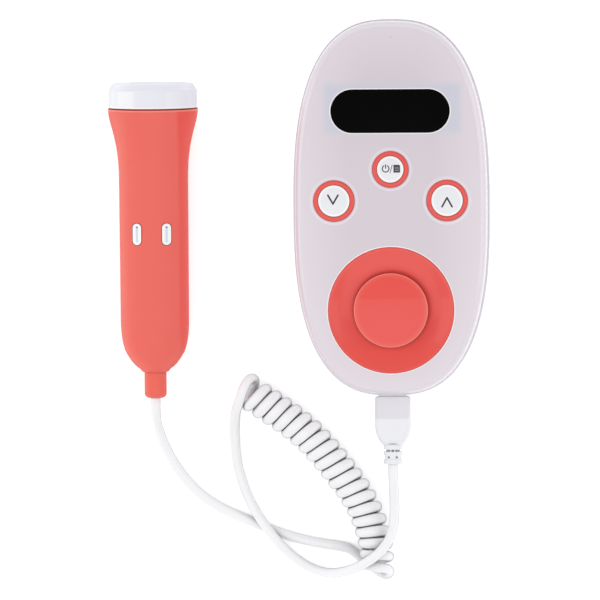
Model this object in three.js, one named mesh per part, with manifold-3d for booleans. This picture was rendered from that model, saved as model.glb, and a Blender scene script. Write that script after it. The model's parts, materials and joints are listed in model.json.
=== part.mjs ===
// Fetal doppler monitor: main unit, probe and curly cord, lying on a table.
// Millimetres, +Z out of the display, +Y towards the display end.
// The origin is the centre of the unit's flat back.

import * as THREE from 'three';
import { mergeVertices } from 'three/addons/utils/BufferGeometryUtils.js';
import Module from 'manifold-3d';

// Housing of the main unit
const housingHalfLength = 78.9;
const housingHalfWidth = 41.2;
const housingHeight = 31;
const housingWall = 2;
const partingHeight = 19.6;
const backEdgeInset = 9;
const backEdgeRise = 12;
const coverInset = 0.7;
const coverDraft = 0.4;
const shoulderRadius = 3.6;
const outlineExponentShare = 2.65;
const outlineSides = 40;
const edgeSteps = 3;

// Facets of the round pieces
const keySides = 18;
const dishSides = 28;
const boreSides = 12;
const arcSteps = 8;

// Clearances and the overrun of every cut
const seatGap = 0.3;
const fitGap = 0.15;
const cutOverrun = 1;
const mergeDistance = 0.0001;

// Tongue on the back shell's rim, and the rebate in the cover that drops over it
const lipHeight = 1.6;
const lipOuterInset = 1.95;
const lipInnerInset = 3.1;
const lipRunIn = 1.4;

// Screws and the bosses that they join
const bossRadius = 3.2;
const upperScrewReachShare = 0.631;
const upperScrewGap = 0.7;
const lowerScrewReachShare = 0.704;
const lowerScrewPlaceShare = 0.3463;
const bossTop = 17.6;
const screwHeadRadius = 2.3;
const screwHeadHeight = 1.5;
const screwShankRadius = 1.1;
const screwSeatHeight = 8;
const screwLength = 15;
const screwSlotWidth = 0.7;
const screwSlotDepth = 0.7;
const screwSlotShare = 0.7;

// Display window, lens and module
const windowPlaceShare = 0.51;
const lensLength = 49.6;
const lensWidth = 18;
const lensThickness = 1.3;
const windowBorder = 2.6;
const moduleShiftX = 0.9;
const moduleShiftY = 1.1;
const moduleLength = 57;
const moduleWidth = 20.6;
const moduleThickness = 2.4;
const modulePocketWall = 1;
const modulePocketDepth = 2;

// Keys: places, and the radii of ring and cap
const powerKeyPlaceShare = 0.202;
const powerRingRadius = 7.55;
const powerCapRadius = 5.55;
const volumeKeyReachShare = 0.5728;
const volumeKeyPlaceShare = 0.0365;
const volumeRingRadius = 8.55;
const volumeCapRadius = 6.55;
const ringProud = 0.7;
const ringFlangeReach = 1.5;
const ringFlangeThickness = 1.2;
const ringEdgeRadius = 0.5;
const keyholeBevel = 0.5;
const capProud = 1.2;
const capCrown = 0.35;
const capCrownShares = [[0.5, 0.7], [0, 1]];
const capEdge = 0.5;
const keyFlangeReach = 0.9;
const keyFlangeThickness = 1.2;
const keyStemRadius = 1.9;
const keyFreePlay = 0.3;

// Tact switches under the keys
const switchSide = 6.2;
const switchHeight = 3.1;
const switchButtonRadius = 1.75;
const switchButtonProud = 0.9;
const switchButtonDepth = 1.2;
const switchWellDepth = 2.3;

// Speaker: dish, cap, driver and cone
const speakerEndMargin = 36.1;
const dishRadius = 26.3;
const dishRimProud = 0.7;
const dishRimWidth = 1.3;
const dishHollow = 2.2;
const dishFaceShares = [0, 0.25, 0.5, 0.75, 1];
const dishThickness = 1.8;
const dishFlangeReach = 1.3;
const soundGap = 0.9;
const capRadius = 15.5;
const capOverlap = 1.5;
const capHeight = 3.1;
const capTopCrown = 0.9;
const capRimRadius = 1.4;
const capRimShares = [0, 0.33, 0.67, 1];
const capTopShares = [0.66, 0.33, 0];
const capWall = 1.6;
const collarDrop = 4;
const spokeWidth = 2.4;
const spokeHeight = 1.6;
const spokeCount = 4;
const hubRadius = 5;
const pegRadius = 2.2;
const driverRadius = 16;
const driverRimWidth = 1.8;
const driverRimHeight = 1.3;
const driverDepth = 4.4;
const magnetRadius = 9;
const magnetDepth = 5.2;
const basketWall = 0.9;
const coneWall = 0.5;
const coneCoilRadius = 5.5;
const coneDomeRise = 1.6;

// Battery bay, cells, contacts and the sliding door
const cellRadius = 7.25;
const cellRoundingShare = 0.125;
const cellLength = 49.3;
const cellTipRadius = 2.75;
const cellTipLength = 1;
const cellPitch = 15;
const bayEndMargin = 15.2;
const baySideGap = 0.6;
const bayWall = 1.2;
const contactThickness = 0.4;
const contactWidth = 11;
const contactHeight = 11.4;
const springRadius = 3.6;
const springWireRadius = 0.4;
const springTurns = 3;
const springLength = 4.2;
const springCurlSteps = 8;
const springWireSides = 5;
const doorHalfWidth = 20;
const doorEndMargin = 2.5;
const doorLipHeight = 5.5;
const doorTravel = 7;
const recessWall = 1.3;
const recessMargin = 2.1;
const hookLength = 5;
const hookInset = 1.6;
const hookThickness = 1.2;
const hookFoot = 1.4;
const hookPlaceShares = [0.14, 0.62];
const gripGrooveWidth = 1.2;
const gripGrooveDepth = 0.7;
const gripGrooveLength = 16;
const gripGroovePitch = 2.6;
const gripGrooveCount = 5;
const gripStartMargin = 6.5;

// Main board
const boardThickness = 1.6;
const boardInset = 6.4;
const boardHoleRadius = 19.2;

// Probe socket and plug
const socketWidth = 13.2;
const socketHeight = 5.9;
const socketLength = 14;
const socketWall = 0.35;
const socketSetback = 0.7;
const socketTongueThickness = 1.7;
const socketTongueLength = 8.6;
const socketRootLength = 3;
const plugShellWidth = 12;
const plugShellHeight = 4.5;
const plugShellWall = 0.4;
const plugShellLength = 11.7;
const plugRootDepth = 5;
const plugTongueThickness = 1.75;
const plugTongueSetback = 0.6;
const gripWidth = 15;
const gripThickness = 8.2;
const gripLength = 20.5;
const gripCornerRadius = 2.2;
const gripNoseGap = 0.5;
const gripTaperShares = [0, 0.03, 0.6, 0.72, 0.84, 0.93, 1];
const gripWidthShares = [0.93, 1, 1, 0.955, 0.84, 0.7, 0.53];
const gripHeightShares = [1, 1, 1, 1, 0.96, 0.82, 0.65];
const gripCornerShare = 0.45;
const neckRadius = 3.95;
const neckLength = 7.8;
const neckGrooveRadius = 2.9;
const neckRootShare = 0.9;
const neckProfileShares = [
  [0, 1], [0.22, 1], [0.22, 0], [0.33, 0], [0.33, 1], [0.55, 1], [0.68, 0.5], [0.78, 0.5], [0.78, 0.94],
  [0.86, 1], [1, 0.86],
];

// Probe: profile of the coral housing from mouth to tail, as radius and place along the axis
const probeX = -99.95;
const probeMouthY = 42.3;
const probeMouthRadius = 18.95;
const probeHandleY = 14.6;
const probeHandleRadius = 14.55;
const probeBellyY = -48.7;
const probeBellyRadius = 14.4;
const probeTailY = -68.65;
const probeTailRadius = 5.5;
const probeWall = 2;
const probeSplitGap = 0.2;
const probeSides = 24;
const probeFlareShares = [
  [0, 1], [0.1, 0.945], [0.22, 0.785], [0.34, 0.577], [0.46, 0.394], [0.6, 0.222], [0.77, 0.084], [1, 0],
];
const probeTailShares = [
  [0, 0], [0.2, 0.032], [0.4, 0.103], [0.56, 0.208], [0.69, 0.37], [0.8, 0.546], [0.88, 0.71], [0.94, 0.886],
  [1, 1],
];
const tailRounding = 0.4;

// Probe head and what it holds
const headInset = 0.4;
const headStep = 3.2;
const headLength = 10.2;
const headChamfer = 1.8;
const headChamferLength = 2.6;
const headWall = 1.2;
const faceThickness = 1.2;
const headSkirtLength = 5;
const crystalThickness = 1;
const crystalSplit = 1.2;
const holderThickness = 4;
const holderRim = 0.55;
const probeBoardLength = 52;
const probeBoardStartY = -30;
const probeBoardDrop = 5;

// White inserts in the front half of the probe
const insertX = 6.23;
const insertY = -10;
const insertWidth = 3.7;
const insertLength = 9;
const insertProud = 0.25;
const insertDepth = 2.9;
const insertSlotWidth = 1;
const insertSlotLength = 6.8;
const insertSlotDepth = 0.6;

// Tail sleeve
const sleeveRadius = 4.65;
const sleeveLength = 11.1;
const sleeveChamfer = 1.9;
const sleeveRootLength = 5;
const sleeveFlangeRadius = 5.3;
const sleeveFlangeThickness = 1.4;

// Cord: its curls, and the points that its free stretches follow on the table
const cordRadius = 2.05;
const cordLie = 0.05;
const curlRadius = 5.15;
const curlWholeTurns = 19;
const curlSteps = 8;
const curlSides = 5;
const curlStartDegrees = 115;
const curlStartTwistDegrees = 22;
const curlOpenTurns = 0.5;
const curlEndDegrees = -90;
const curlEndTwistDegrees = 42;
const curlCloseTurns = 0.4;
const curlPeelTurns = 1.1;
const curlPeelBack = 1.6;
const curlPeelGrowth = 0.9;
const curlNeighbourShare = 0.6;
const leadSides = 8;
const leadStep = 9;
const leadEndStub = 1.2;
const curlAxisPoints = [
  [-62.0, -77.0, 7.25], [-57.9, -79.7, 7.25], [-50.0, -85.1, 7.25], [-42.1, -90.8, 7.25],
  [-34.7, -97.2, 7.25], [-28.2, -104.3, 7.25], [-22.3, -111.7, 7.25], [-16.8, -119.3, 7.5],
  [-12.2, -127.6, 8.5], [-9.1, -136.0, 10.3], [-7.5, -143.0, 11.7], [-6.9, -149.0, 12],
  [-6.8, -153.6, 12],
];
const probeLeadPoints = [
  [-99.7, -90.4, 9.9], [-98.2, -95.9, 7.2], [-96.3, -101.1, 5.0], [-93.8, -106.3, 3.4],
  [-90.6, -111.4, 2.4], [-86.6, -116.4, 2.1], [-82.1, -120.8, 2.1], [-77.2, -124.4, 2.1],
  [-72.2, -127.3, 2.1], [-66.9, -129.8, 2.1], [-61.0, -132.3, 2.1], [-54.8, -134.9, 2.1],
  [-48.0, -137.5, 2.1], [-41.4, -139.5, 2.1], [-35.6, -140.9, 2.1], [-29.4, -142.1, 2.1],
  [-23.2, -143.0, 2.1], [-18.9, -144.2, 2.1], [-14.9, -147.3, 2.1],
];
const unitLeadPoints = [
  [0.2, -116.5, 15.9], [0.5, -122.5, 17.1], [0.6, -128.0, 18.6], [0.1, -133.6, 20.0],
  [-1.4, -138.6, 21.1], [-4.1, -142.7, 21.8], [-7.7, -146.2, 21.8], [-12.1, -149.2, 20.3],
  [-17.0, -151.6, 16.9], [-22.0, -153.3, 12.5], [-26.5, -154.0, 8.7], [-31.0, -153.6, 5.7],
  [-35.3, -152.2, 4.0], [-39.5, -149.8, 3.4], [-43.5, -146.7, 4.0], [-47.2, -143.1, 5.3],
  [-50.4, -139.4, 6.4], [-53.1, -135.9, 6.7], [-55.5, -132.6, 6.4], [-57.9, -129.0, 5.3],
  [-60.2, -125.1, 4.0], [-62.3, -120.9, 2.9], [-64.1, -116.1, 2.3], [-65.6, -111.0, 2.1],
  [-66.6, -105.7, 2.1], [-67.1, -100.1, 2.4], [-67.2, -94.7, 3.5], [-67.0, -90.3, 5.3],
  [-66.5, -86.3, 7.7],
];

// Colours
const coverWhite = { color: 0xded6de, roughness: 0.25, metalness: 0 };
const shellWhite = { color: 0xe6e4ea, roughness: 0.4, metalness: 0 };
const coral = { color: 0xec6a60, roughness: 0.4, metalness: 0 };
const gloss = { color: 0x0c0c0e, roughness: 0.08, metalness: 0 };
const keyWhite = { color: 0xf2f2f6, roughness: 0.35, metalness: 0 };
const cordWhite = { color: 0xf0f0f3, roughness: 0.5, metalness: 0 };
const moduleGrey = { color: 0xb9c4d2, roughness: 0.3, metalness: 0.1 };
const boardGreen = { color: 0x2c6e49, roughness: 0.6, metalness: 0 };
const steel = { color: 0xb8bcc2, roughness: 0.35, metalness: 0.9 };
const black = { color: 0x1c1c1f, roughness: 0.6, metalness: 0 };
const cellBlue = { color: 0x3b5f8a, roughness: 0.4, metalness: 0.3 };
const ceramic = { color: 0xd9d3c3, roughness: 0.6, metalness: 0 };

const wasm = await Module();
wasm.setup();

const unit = new THREE.Group();
const probe = new THREE.Group();
const doppler = new THREE.Group();
doppler.add(unit, probe);

// Solids: a closed geometry becomes one that can be cut and joined, and comes back as a geometry

function signedVolume(positions, index) {
  let volume = 0;
  const a = new THREE.Vector3();
  const b = new THREE.Vector3();
  const c = new THREE.Vector3();
  for (let i = 0; i < index.length; i += 3) {
    a.fromArray(positions, 3 * index[i]);
    b.fromArray(positions, 3 * index[i + 1]);
    c.fromArray(positions, 3 * index[i + 2]);
    volume += a.dot(b.cross(c)) / 6;
  }
  return volume;
}

function solid(geometry) {
  const bare = geometry.clone();
  bare.deleteAttribute('normal');
  bare.deleteAttribute('uv');
  const merged = mergeVertices(bare, mergeDistance);
  const positions = merged.attributes.position.array;
  const corners = [];
  for (let i = 0; i < merged.index.count; i += 3) {
    const [a, b, c] = [0, 1, 2].map((k) => merged.index.getX(i + k));
    if (a !== b && b !== c && c !== a) corners.push(a, b, c);
  }
  if (signedVolume(positions, corners) < 0) corners.reverse();
  const mesh = new wasm.Mesh({
    numProp: 3,
    vertProperties: new Float32Array(positions),
    triVerts: new Uint32Array(corners),
  });
  return new wasm.Manifold(mesh);
}

function geometryOf(body) {
  const mesh = body.getMesh();
  const geometry = new THREE.BufferGeometry();
  geometry.setAttribute('position', new THREE.BufferAttribute(new Float32Array(mesh.vertProperties), 3));
  geometry.setIndex(new THREE.BufferAttribute(new Uint32Array(mesh.triVerts), 1));
  geometry.computeVertexNormals();
  return geometry;
}

function place(name, body, finish, parent = unit) {
  const mesh = new THREE.Mesh(geometryOf(body), new THREE.MeshStandardMaterial(finish));
  mesh.name = name;
  parent.add(mesh);
  return mesh;
}

function joined(...bodies) {
  return bodies.reduce((whole, body) => whole.add(body));
}

function cut(body, ...tools) {
  return tools.reduce((rest, tool) => rest.subtract(tool), body);
}

// Basic forms, each given by where it starts and ends

function block([x0, x1], [y0, y1], [z0, z1]) {
  const box = new THREE.BoxGeometry(x1 - x0, y1 - y0, z1 - z0);
  return solid(box.translate((x0 + x1) / 2, (y0 + y1) / 2, (z0 + z1) / 2));
}

function revolved(profile, sides, x = 0, y = 0) {
  const points = profile.map(([radius, height]) => new THREE.Vector2(radius, height));
  return solid(new THREE.LatheGeometry(points, sides).rotateX(Math.PI / 2).translate(x, y, 0));
}

function disc(radius, [z0, z1], x, y, sides) {
  return revolved([[0, z0], [radius, z0], [radius, z1], [0, z1]], sides, x, y);
}

function revolvedAlongY(profile, sides) {
  const points = profile.map(([radius, place]) => new THREE.Vector2(radius, place));
  return solid(new THREE.LatheGeometry(points, sides));
}

function lofted(rings) {
  const count = rings[0].length;
  const positions = rings.flat().flatMap((point) => point.toArray());
  const index = [];
  for (let ring = 0; ring + 1 < rings.length; ring++) {
    for (let i = 0; i < count; i++) {
      const a = ring * count + i;
      const b = ring * count + (i + 1) % count;
      index.push(a, b, b + count, a, b + count, a + count);
    }
  }
  const last = (rings.length - 1) * count;
  for (let i = 1; i + 1 < count; i++) {
    index.push(0, i + 1, i, last, last + i, last + i + 1);
  }
  const geometry = new THREE.BufferGeometry();
  geometry.setAttribute('position', new THREE.Float32BufferAttribute(positions, 3));
  geometry.setIndex(index);
  return solid(geometry);
}

function stadium(length, width, [z0, z1], x = 0, y = 0, upright = false) {
  const radius = width / 2;
  const reach = length / 2 - radius;
  const shape = new THREE.Shape();
  shape.absarc(reach, 0, radius, -Math.PI / 2, Math.PI / 2);
  shape.absarc(-reach, 0, radius, Math.PI / 2, 1.5 * Math.PI);
  const depth = z1 - z0;
  const plate = new THREE.ExtrudeGeometry(shape, { depth, bevelEnabled: false, curveSegments: arcSteps });
  if (upright) plate.rotateZ(Math.PI / 2);
  return solid(plate.translate(x, y, z0));
}

// Outline of the housing: a superellipse, drawn in by an inset at each height

function outlineAt(inset, height) {
  const ring = [];
  for (let i = 0; i < outlineSides; i++) {
    const angle = (2 * Math.PI * i) / outlineSides;
    const [c, s] = [Math.cos(angle), Math.sin(angle)];
    const sum = Math.abs(c) ** outlineExponentShare + Math.abs(s) ** outlineExponentShare;
    const bulge = sum ** (-1 / outlineExponentShare);
    const x = (housingHalfWidth - inset) * c * bulge;
    const y = (housingHalfLength - inset) * s * bulge;
    ring.push(new THREE.Vector3(x, y, height));
  }
  return ring;
}

// The back's rounded edge: a quarter ellipse from the flat back up to the side wall
function backEdge(startInset, startHeight, endInset) {
  const rings = [];
  for (let step = 0; step <= edgeSteps; step++) {
    const angle = (Math.PI / 2) * (step / edgeSteps);
    const inset = endInset + (startInset - endInset) * (1 - Math.sin(angle));
    const height = startHeight + (backEdgeRise - startHeight) * (1 - Math.cos(angle));
    rings.push(outlineAt(inset, height));
  }
  return rings;
}

function housingInside(wall) {
  return lofted([...backEdge(backEdgeInset, wall, wall), outlineAt(wall, housingHeight)]);
}

// The cover's shoulder: a quarter round from its side to its flat face
function coverShoulder(sideInset, radius, top) {
  const rings = [];
  for (let step = 0; step <= edgeSteps; step++) {
    const angle = (Math.PI / 2) * (step / edgeSteps);
    rings.push(outlineAt(sideInset + radius * (1 - Math.cos(angle)), top - radius * (1 - Math.sin(angle))));
  }
  return rings;
}

// Places along and across the housing
const windowY = housingHalfLength * windowPlaceShare;
const moduleX = moduleShiftX;
const moduleY = windowY + moduleShiftY;
const speakerY = speakerEndMargin - housingHalfLength;

// Heights worked out upwards from the back: bay, board, switches, keys
const doorTop = housingWall;
const bayFloor = doorTop + seatGap;
const cellCentreHeight = bayFloor + cellRadius;
const bayCeiling = cellCentreHeight + cellRadius + seatGap;
const boardBottom = bayCeiling + bayWall + seatGap;
const boardTop = boardBottom + boardThickness;
const switchBase = boardTop + fitGap;
const switchTop = switchBase + switchHeight;
const buttonTop = switchTop + switchButtonProud;
const stemBottom = buttonTop + keyFreePlay;
const coverUnderside = housingHeight - housingWall;
const ringFlangeTop = coverUnderside - fitGap;
const ringBottom = ringFlangeTop - ringFlangeThickness;
const keyFlangeTop = ringBottom - seatGap;

const powerKeyY = housingHalfLength * powerKeyPlaceShare;
const volumeKeyX = housingHalfWidth * volumeKeyReachShare;
const volumeKeyY = housingHalfLength * volumeKeyPlaceShare;
const keys = [
  { name: 'power', x: 0, y: powerKeyY, ring: powerRingRadius, cap: powerCapRadius },
  { name: 'down', x: -volumeKeyX, y: volumeKeyY, ring: volumeRingRadius, cap: volumeCapRadius },
  { name: 'up', x: volumeKeyX, y: volumeKeyY, ring: volumeRingRadius, cap: volumeCapRadius },
];

// The upper screws stand clear of the module's pocket, the lower ones beside the speaker
const upperScrewX = housingHalfWidth * upperScrewReachShare;
const upperScrewY = moduleY + moduleWidth / 2 + seatGap + modulePocketWall + upperScrewGap + bossRadius;
const lowerScrewX = housingHalfWidth * lowerScrewReachShare;
const lowerScrewY = -housingHalfLength * lowerScrewPlaceShare;
const screwPlaces = [
  [-upperScrewX, upperScrewY], [upperScrewX, upperScrewY],
  [-lowerScrewX, lowerScrewY], [lowerScrewX, lowerScrewY],
];

// Battery bay: half width and length follow from the two cells and their contacts
const bayHalfWidth = cellPitch / 2 + cellRadius + baySideGap / 2;
const bayLength = cellLength + cellTipLength + springLength + 2 * (contactThickness + seatGap) + seatGap;
const bayEndY = housingHalfLength - bayEndMargin;
const bayStartY = bayEndY - bayLength;
const doorStartY = bayStartY - doorEndMargin;

// Socket: it hangs under the board, and its mouth is cut through the end of the housing
const socketTop = boardBottom - seatGap;
const socketCentre = socketTop - socketHeight / 2;
const socketMouthY = -housingHalfLength + socketSetback;
const mouthHalf = socketWidth / 2 + seatGap;
const socketMouthReach = [-housingHalfLength - cutOverrun, socketMouthY + 2 * housingWall];
const socketMouth = block([-mouthHalf, mouthHalf], socketMouthReach,
  [socketCentre - socketHeight / 2 - seatGap, socketTop + seatGap / 2]);

// Front cover

function makeFrontCover() {
  const rim = partingHeight + seatGap;
  const outside = lofted([outlineAt(coverInset, rim),
    ...coverShoulder(coverInset + coverDraft, shoulderRadius, housingHeight)]);
  const rebateTop = partingHeight + lipHeight + seatGap;
  const rebateInset = lipOuterInset - fitGap;
  const innerInset = coverInset + coverDraft + housingWall;
  const inside = lofted([outlineAt(rebateInset, rim - cutOverrun), outlineAt(rebateInset, rebateTop),
    outlineAt(innerInset, rebateTop), outlineAt(innerInset, coverUnderside - shoulderRadius / 2),
    outlineAt(innerInset + shoulderRadius / 2, coverUnderside)]);
  let cover = cut(outside, inside);
  for (const [x, y] of screwPlaces) {
    const post = disc(bossRadius, [bossTop + seatGap, coverUnderside + cutOverrun / 2], x, y, boreSides);
    cover = joined(cover, post);
    const pilotTop = screwSeatHeight + screwLength + seatGap;
    cover = cut(cover, disc(screwShankRadius + fitGap, [bossTop - cutOverrun, pilotTop], x, y, boreSides));
  }
  const [pocketX, pocketY] = [moduleLength / 2 + seatGap, moduleWidth / 2 + seatGap];
  const pocket = (margin, heights) => block([moduleX - pocketX - margin, moduleX + pocketX + margin],
    [moduleY - pocketY - margin, moduleY + pocketY + margin], heights);
  const pocketBottom = coverUnderside - modulePocketDepth;
  const frame = cut(pocket(modulePocketWall, [pocketBottom, coverUnderside + cutOverrun / 2]),
    pocket(0, [pocketBottom - cutOverrun, coverUnderside]));
  const lensBed = stadium(lensLength + 2 * fitGap, lensWidth + 2 * fitGap,
    [housingHeight - lensThickness - fitGap, housingHeight + cutOverrun], 0, windowY);
  const windowHole = stadium(lensLength - 2 * windowBorder, lensWidth - 2 * windowBorder,
    [coverUnderside - cutOverrun, housingHeight + cutOverrun], 0, windowY);
  cover = cut(joined(cover, frame), lensBed, windowHole, socketMouth);
  const [low, high] = [coverUnderside - cutOverrun, housingHeight + cutOverrun];
  for (const key of keys) {
    const hole = key.ring + fitGap;
    const bevel = hole + keyholeBevel;
    cover = cut(cover, revolved([[0, low], [hole, low], [hole, housingHeight - keyholeBevel],
      [bevel, housingHeight], [bevel, high], [0, high]], keySides, key.x, key.y));
  }
  return cut(cover, disc(dishRadius + fitGap, [low, high], 0, speakerY, dishSides));
}
place('front_cover', makeFrontCover(), coverWhite);

// Display lens and module

const lensTop = housingHeight + fitGap;
const lens = stadium(lensLength, lensWidth, [housingHeight - lensThickness, lensTop], 0, windowY);
place('display_lens', lens, gloss);
const moduleTop = coverUnderside - fitGap;
const module = block([moduleX - moduleLength / 2, moduleX + moduleLength / 2],
  [moduleY - moduleWidth / 2, moduleY + moduleWidth / 2], [moduleTop - moduleThickness, moduleTop]);
place('display_module', module, moduleGrey);

// Keys: a coral ring glued in the cover, and a white key that travels in it onto a tact switch

function makeKeyRing(key) {
  const bore = key.cap + 2 * fitGap;
  const top = housingHeight + ringProud;
  const flange = key.ring + ringFlangeReach;
  return revolved([[bore, ringBottom], [flange, ringBottom], [flange, ringFlangeTop],
    [key.ring, ringFlangeTop], [key.ring, top - ringEdgeRadius], [key.ring - ringEdgeRadius, top],
    [bore + ringEdgeRadius, top], [bore, top - ringEdgeRadius], [bore, ringBottom]], keySides, key.x, key.y);
}

function makeKey(key) {
  const top = housingHeight + capProud;
  const flange = key.cap + keyFlangeReach;
  const flangeBottom = keyFlangeTop - keyFlangeThickness;
  const crown = capCrownShares.map(([reach, rise]) => [key.cap * reach, top + capCrown * rise]);
  return revolved([[0, stemBottom], [keyStemRadius, stemBottom], [keyStemRadius, flangeBottom],
    [flange, flangeBottom], [flange, keyFlangeTop], [key.cap, keyFlangeTop], [key.cap, top - capEdge],
    [key.cap - capEdge, top], ...crown], keySides, key.x, key.y);
}

function makeSwitch(key) {
  const half = switchSide / 2;
  const body = block([key.x - half, key.x + half], [key.y - half, key.y + half], [switchBase, switchTop]);
  const depths = [switchTop - switchWellDepth, switchTop + cutOverrun];
  return cut(body, disc(switchButtonRadius + fitGap, depths, key.x, key.y, boreSides));
}

for (const key of keys) {
  place(`${key.name}_key_ring`, makeKeyRing(key), coral);
  place(`${key.name}_key`, makeKey(key), keyWhite);
  place(`${key.name}_switch`, makeSwitch(key), black);
  const reach = [switchTop - switchButtonDepth, buttonTop];
  place(`${key.name}_switch_button`, disc(switchButtonRadius, reach, key.x, key.y, boreSides), keyWhite);
}

// Speaker: the sound leaves through a slit between the dish's hollow face and the cap that overhangs it,
// and spokes carry the hub that holds the cap's peg

const dishGapRadius = capRadius - capOverlap;
const dishLow = housingHeight - dishHollow;
const collarBottom = dishLow - collarDrop;
const hubTop = collarBottom + spokeHeight;
const capBase = dishLow + soundGap;

function makeSpeakerDish() {
  const rimTop = housingHeight + dishRimProud;
  const span = dishRadius - dishRimWidth - dishGapRadius;
  const face = dishFaceShares.map((share) => [
    dishRadius - dishRimWidth - span * share,
    housingHeight - dishHollow * Math.sin((Math.PI / 2) * share),
  ]);
  const collarOuter = dishGapRadius + dishThickness;
  const flangeTop = coverUnderside - fitGap;
  const bowl = revolved([[dishGapRadius, collarBottom], [collarOuter, collarBottom],
    [collarOuter, flangeTop - dishThickness], [dishRadius + dishFlangeReach, flangeTop - dishThickness],
    [dishRadius + dishFlangeReach, flangeTop], [dishRadius, flangeTop], [dishRadius, rimTop - ringEdgeRadius],
    [dishRadius - ringEdgeRadius, rimTop],
    [dishRadius - dishRimWidth + ringEdgeRadius, rimTop - ringEdgeRadius / 2],
    ...face, [dishGapRadius, collarBottom]], dishSides, 0, speakerY);
  let dish = bowl;
  for (let i = 0; i < spokeCount / 2; i++) {
    const reach = dishGapRadius + dishThickness / 2;
    const bar = block([-reach, reach], [-spokeWidth / 2, spokeWidth / 2], [collarBottom, hubTop]);
    const turn = (360 / spokeCount) * (i + 0.5);
    dish = joined(dish, bar.rotate([0, 0, turn]).translate([0, speakerY, 0]));
  }
  dish = joined(dish, disc(hubRadius, [collarBottom, hubTop], 0, speakerY, boreSides));
  const bore = [collarBottom - cutOverrun, hubTop + cutOverrun];
  return cut(dish, disc(pegRadius + fitGap, bore, 0, speakerY, boreSides));
}
place('speaker_dish', makeSpeakerDish(), coral);

function makeSpeakerCap() {
  const top = housingHeight + capHeight;
  const rim = capRimShares.map((share) => {
    const angle = (Math.PI / 2) * share;
    return [capRadius - capRimRadius * (1 - Math.cos(angle)), top - capRimRadius * (1 - Math.sin(angle))];
  });
  const crown = capTopShares.map((share) => [
    (capRadius - capRimRadius) * share, top + capTopCrown * (1 - share ** 2),
  ]);
  const inner = capRadius - capWall;
  const ceiling = top - capWall;
  return revolved([[0, collarBottom], [pegRadius, collarBottom], [pegRadius, hubTop + seatGap],
    [hubRadius, hubTop + seatGap], [hubRadius, ceiling], [inner, ceiling], [inner, capBase],
    [capRadius, capBase], ...rim, ...crown], dishSides, 0, speakerY);
}
place('speaker_cap', makeSpeakerCap(), coral);

const driverTop = collarBottom - seatGap;
const basketFloor = driverTop - driverDepth;

function makeSpeakerDriver() {
  const magnetBottom = basketFloor - magnetDepth;
  const inner = driverRadius - driverRimWidth;
  const rimLow = driverTop - driverRimHeight;
  return revolved([[0, magnetBottom], [magnetRadius, magnetBottom], [magnetRadius, basketFloor - basketWall],
    [magnetRadius + basketWall, basketFloor - basketWall], [driverRadius - basketWall, rimLow - basketWall],
    [driverRadius, rimLow], [driverRadius, driverTop], [inner, driverTop], [inner, rimLow],
    [inner - driverRimWidth, rimLow], [magnetRadius, basketFloor], [0, basketFloor]], keySides, 0, speakerY);
}
place('speaker_driver', makeSpeakerDriver(), steel);

function makeSpeakerCone() {
  const outer = driverRadius - driverRimWidth - seatGap;
  const edge = driverTop - coneWall;
  const neck = basketFloor + 2 * seatGap + coneWall;
  const lip = outer - 2 * coneWall;
  return revolved([[0, neck + coneDomeRise - coneWall], [coneCoilRadius - coneWall, neck - coneWall],
    [coneCoilRadius + coneWall, neck - coneWall], [lip, edge - coneWall], [outer, edge - coneWall],
    [outer, edge], [lip, edge], [coneCoilRadius, neck + coneWall / 2], [coneCoilRadius - coneWall, neck],
    [0, neck + coneDomeRise]], keySides, 0, speakerY);
}
place('speaker_cone', makeSpeakerCone(), black);

// Main board

function makeMainBoard() {
  const board = lofted([outlineAt(boardInset, boardBottom), outlineAt(boardInset, boardTop)]);
  const heights = [boardBottom - cutOverrun, boardTop + cutOverrun];
  const posts = screwPlaces.map(([x, y]) => disc(bossRadius + seatGap, heights, x, y, boreSides));
  return cut(board, disc(boardHoleRadius, heights, 0, speakerY, dishSides), ...posts);
}
place('main_board', makeMainBoard(), boardGreen);

// Back shell

const recessFloorTop = bayFloor + recessWall;
const doorEndY = housingHalfLength + cutOverrun;
const hookSpan = housingHalfLength - doorStartY;
const hookStarts = hookPlaceShares.map((share) => doorStartY + hookSpan * share);
const hookOuter = doorHalfWidth - hookInset;

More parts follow.
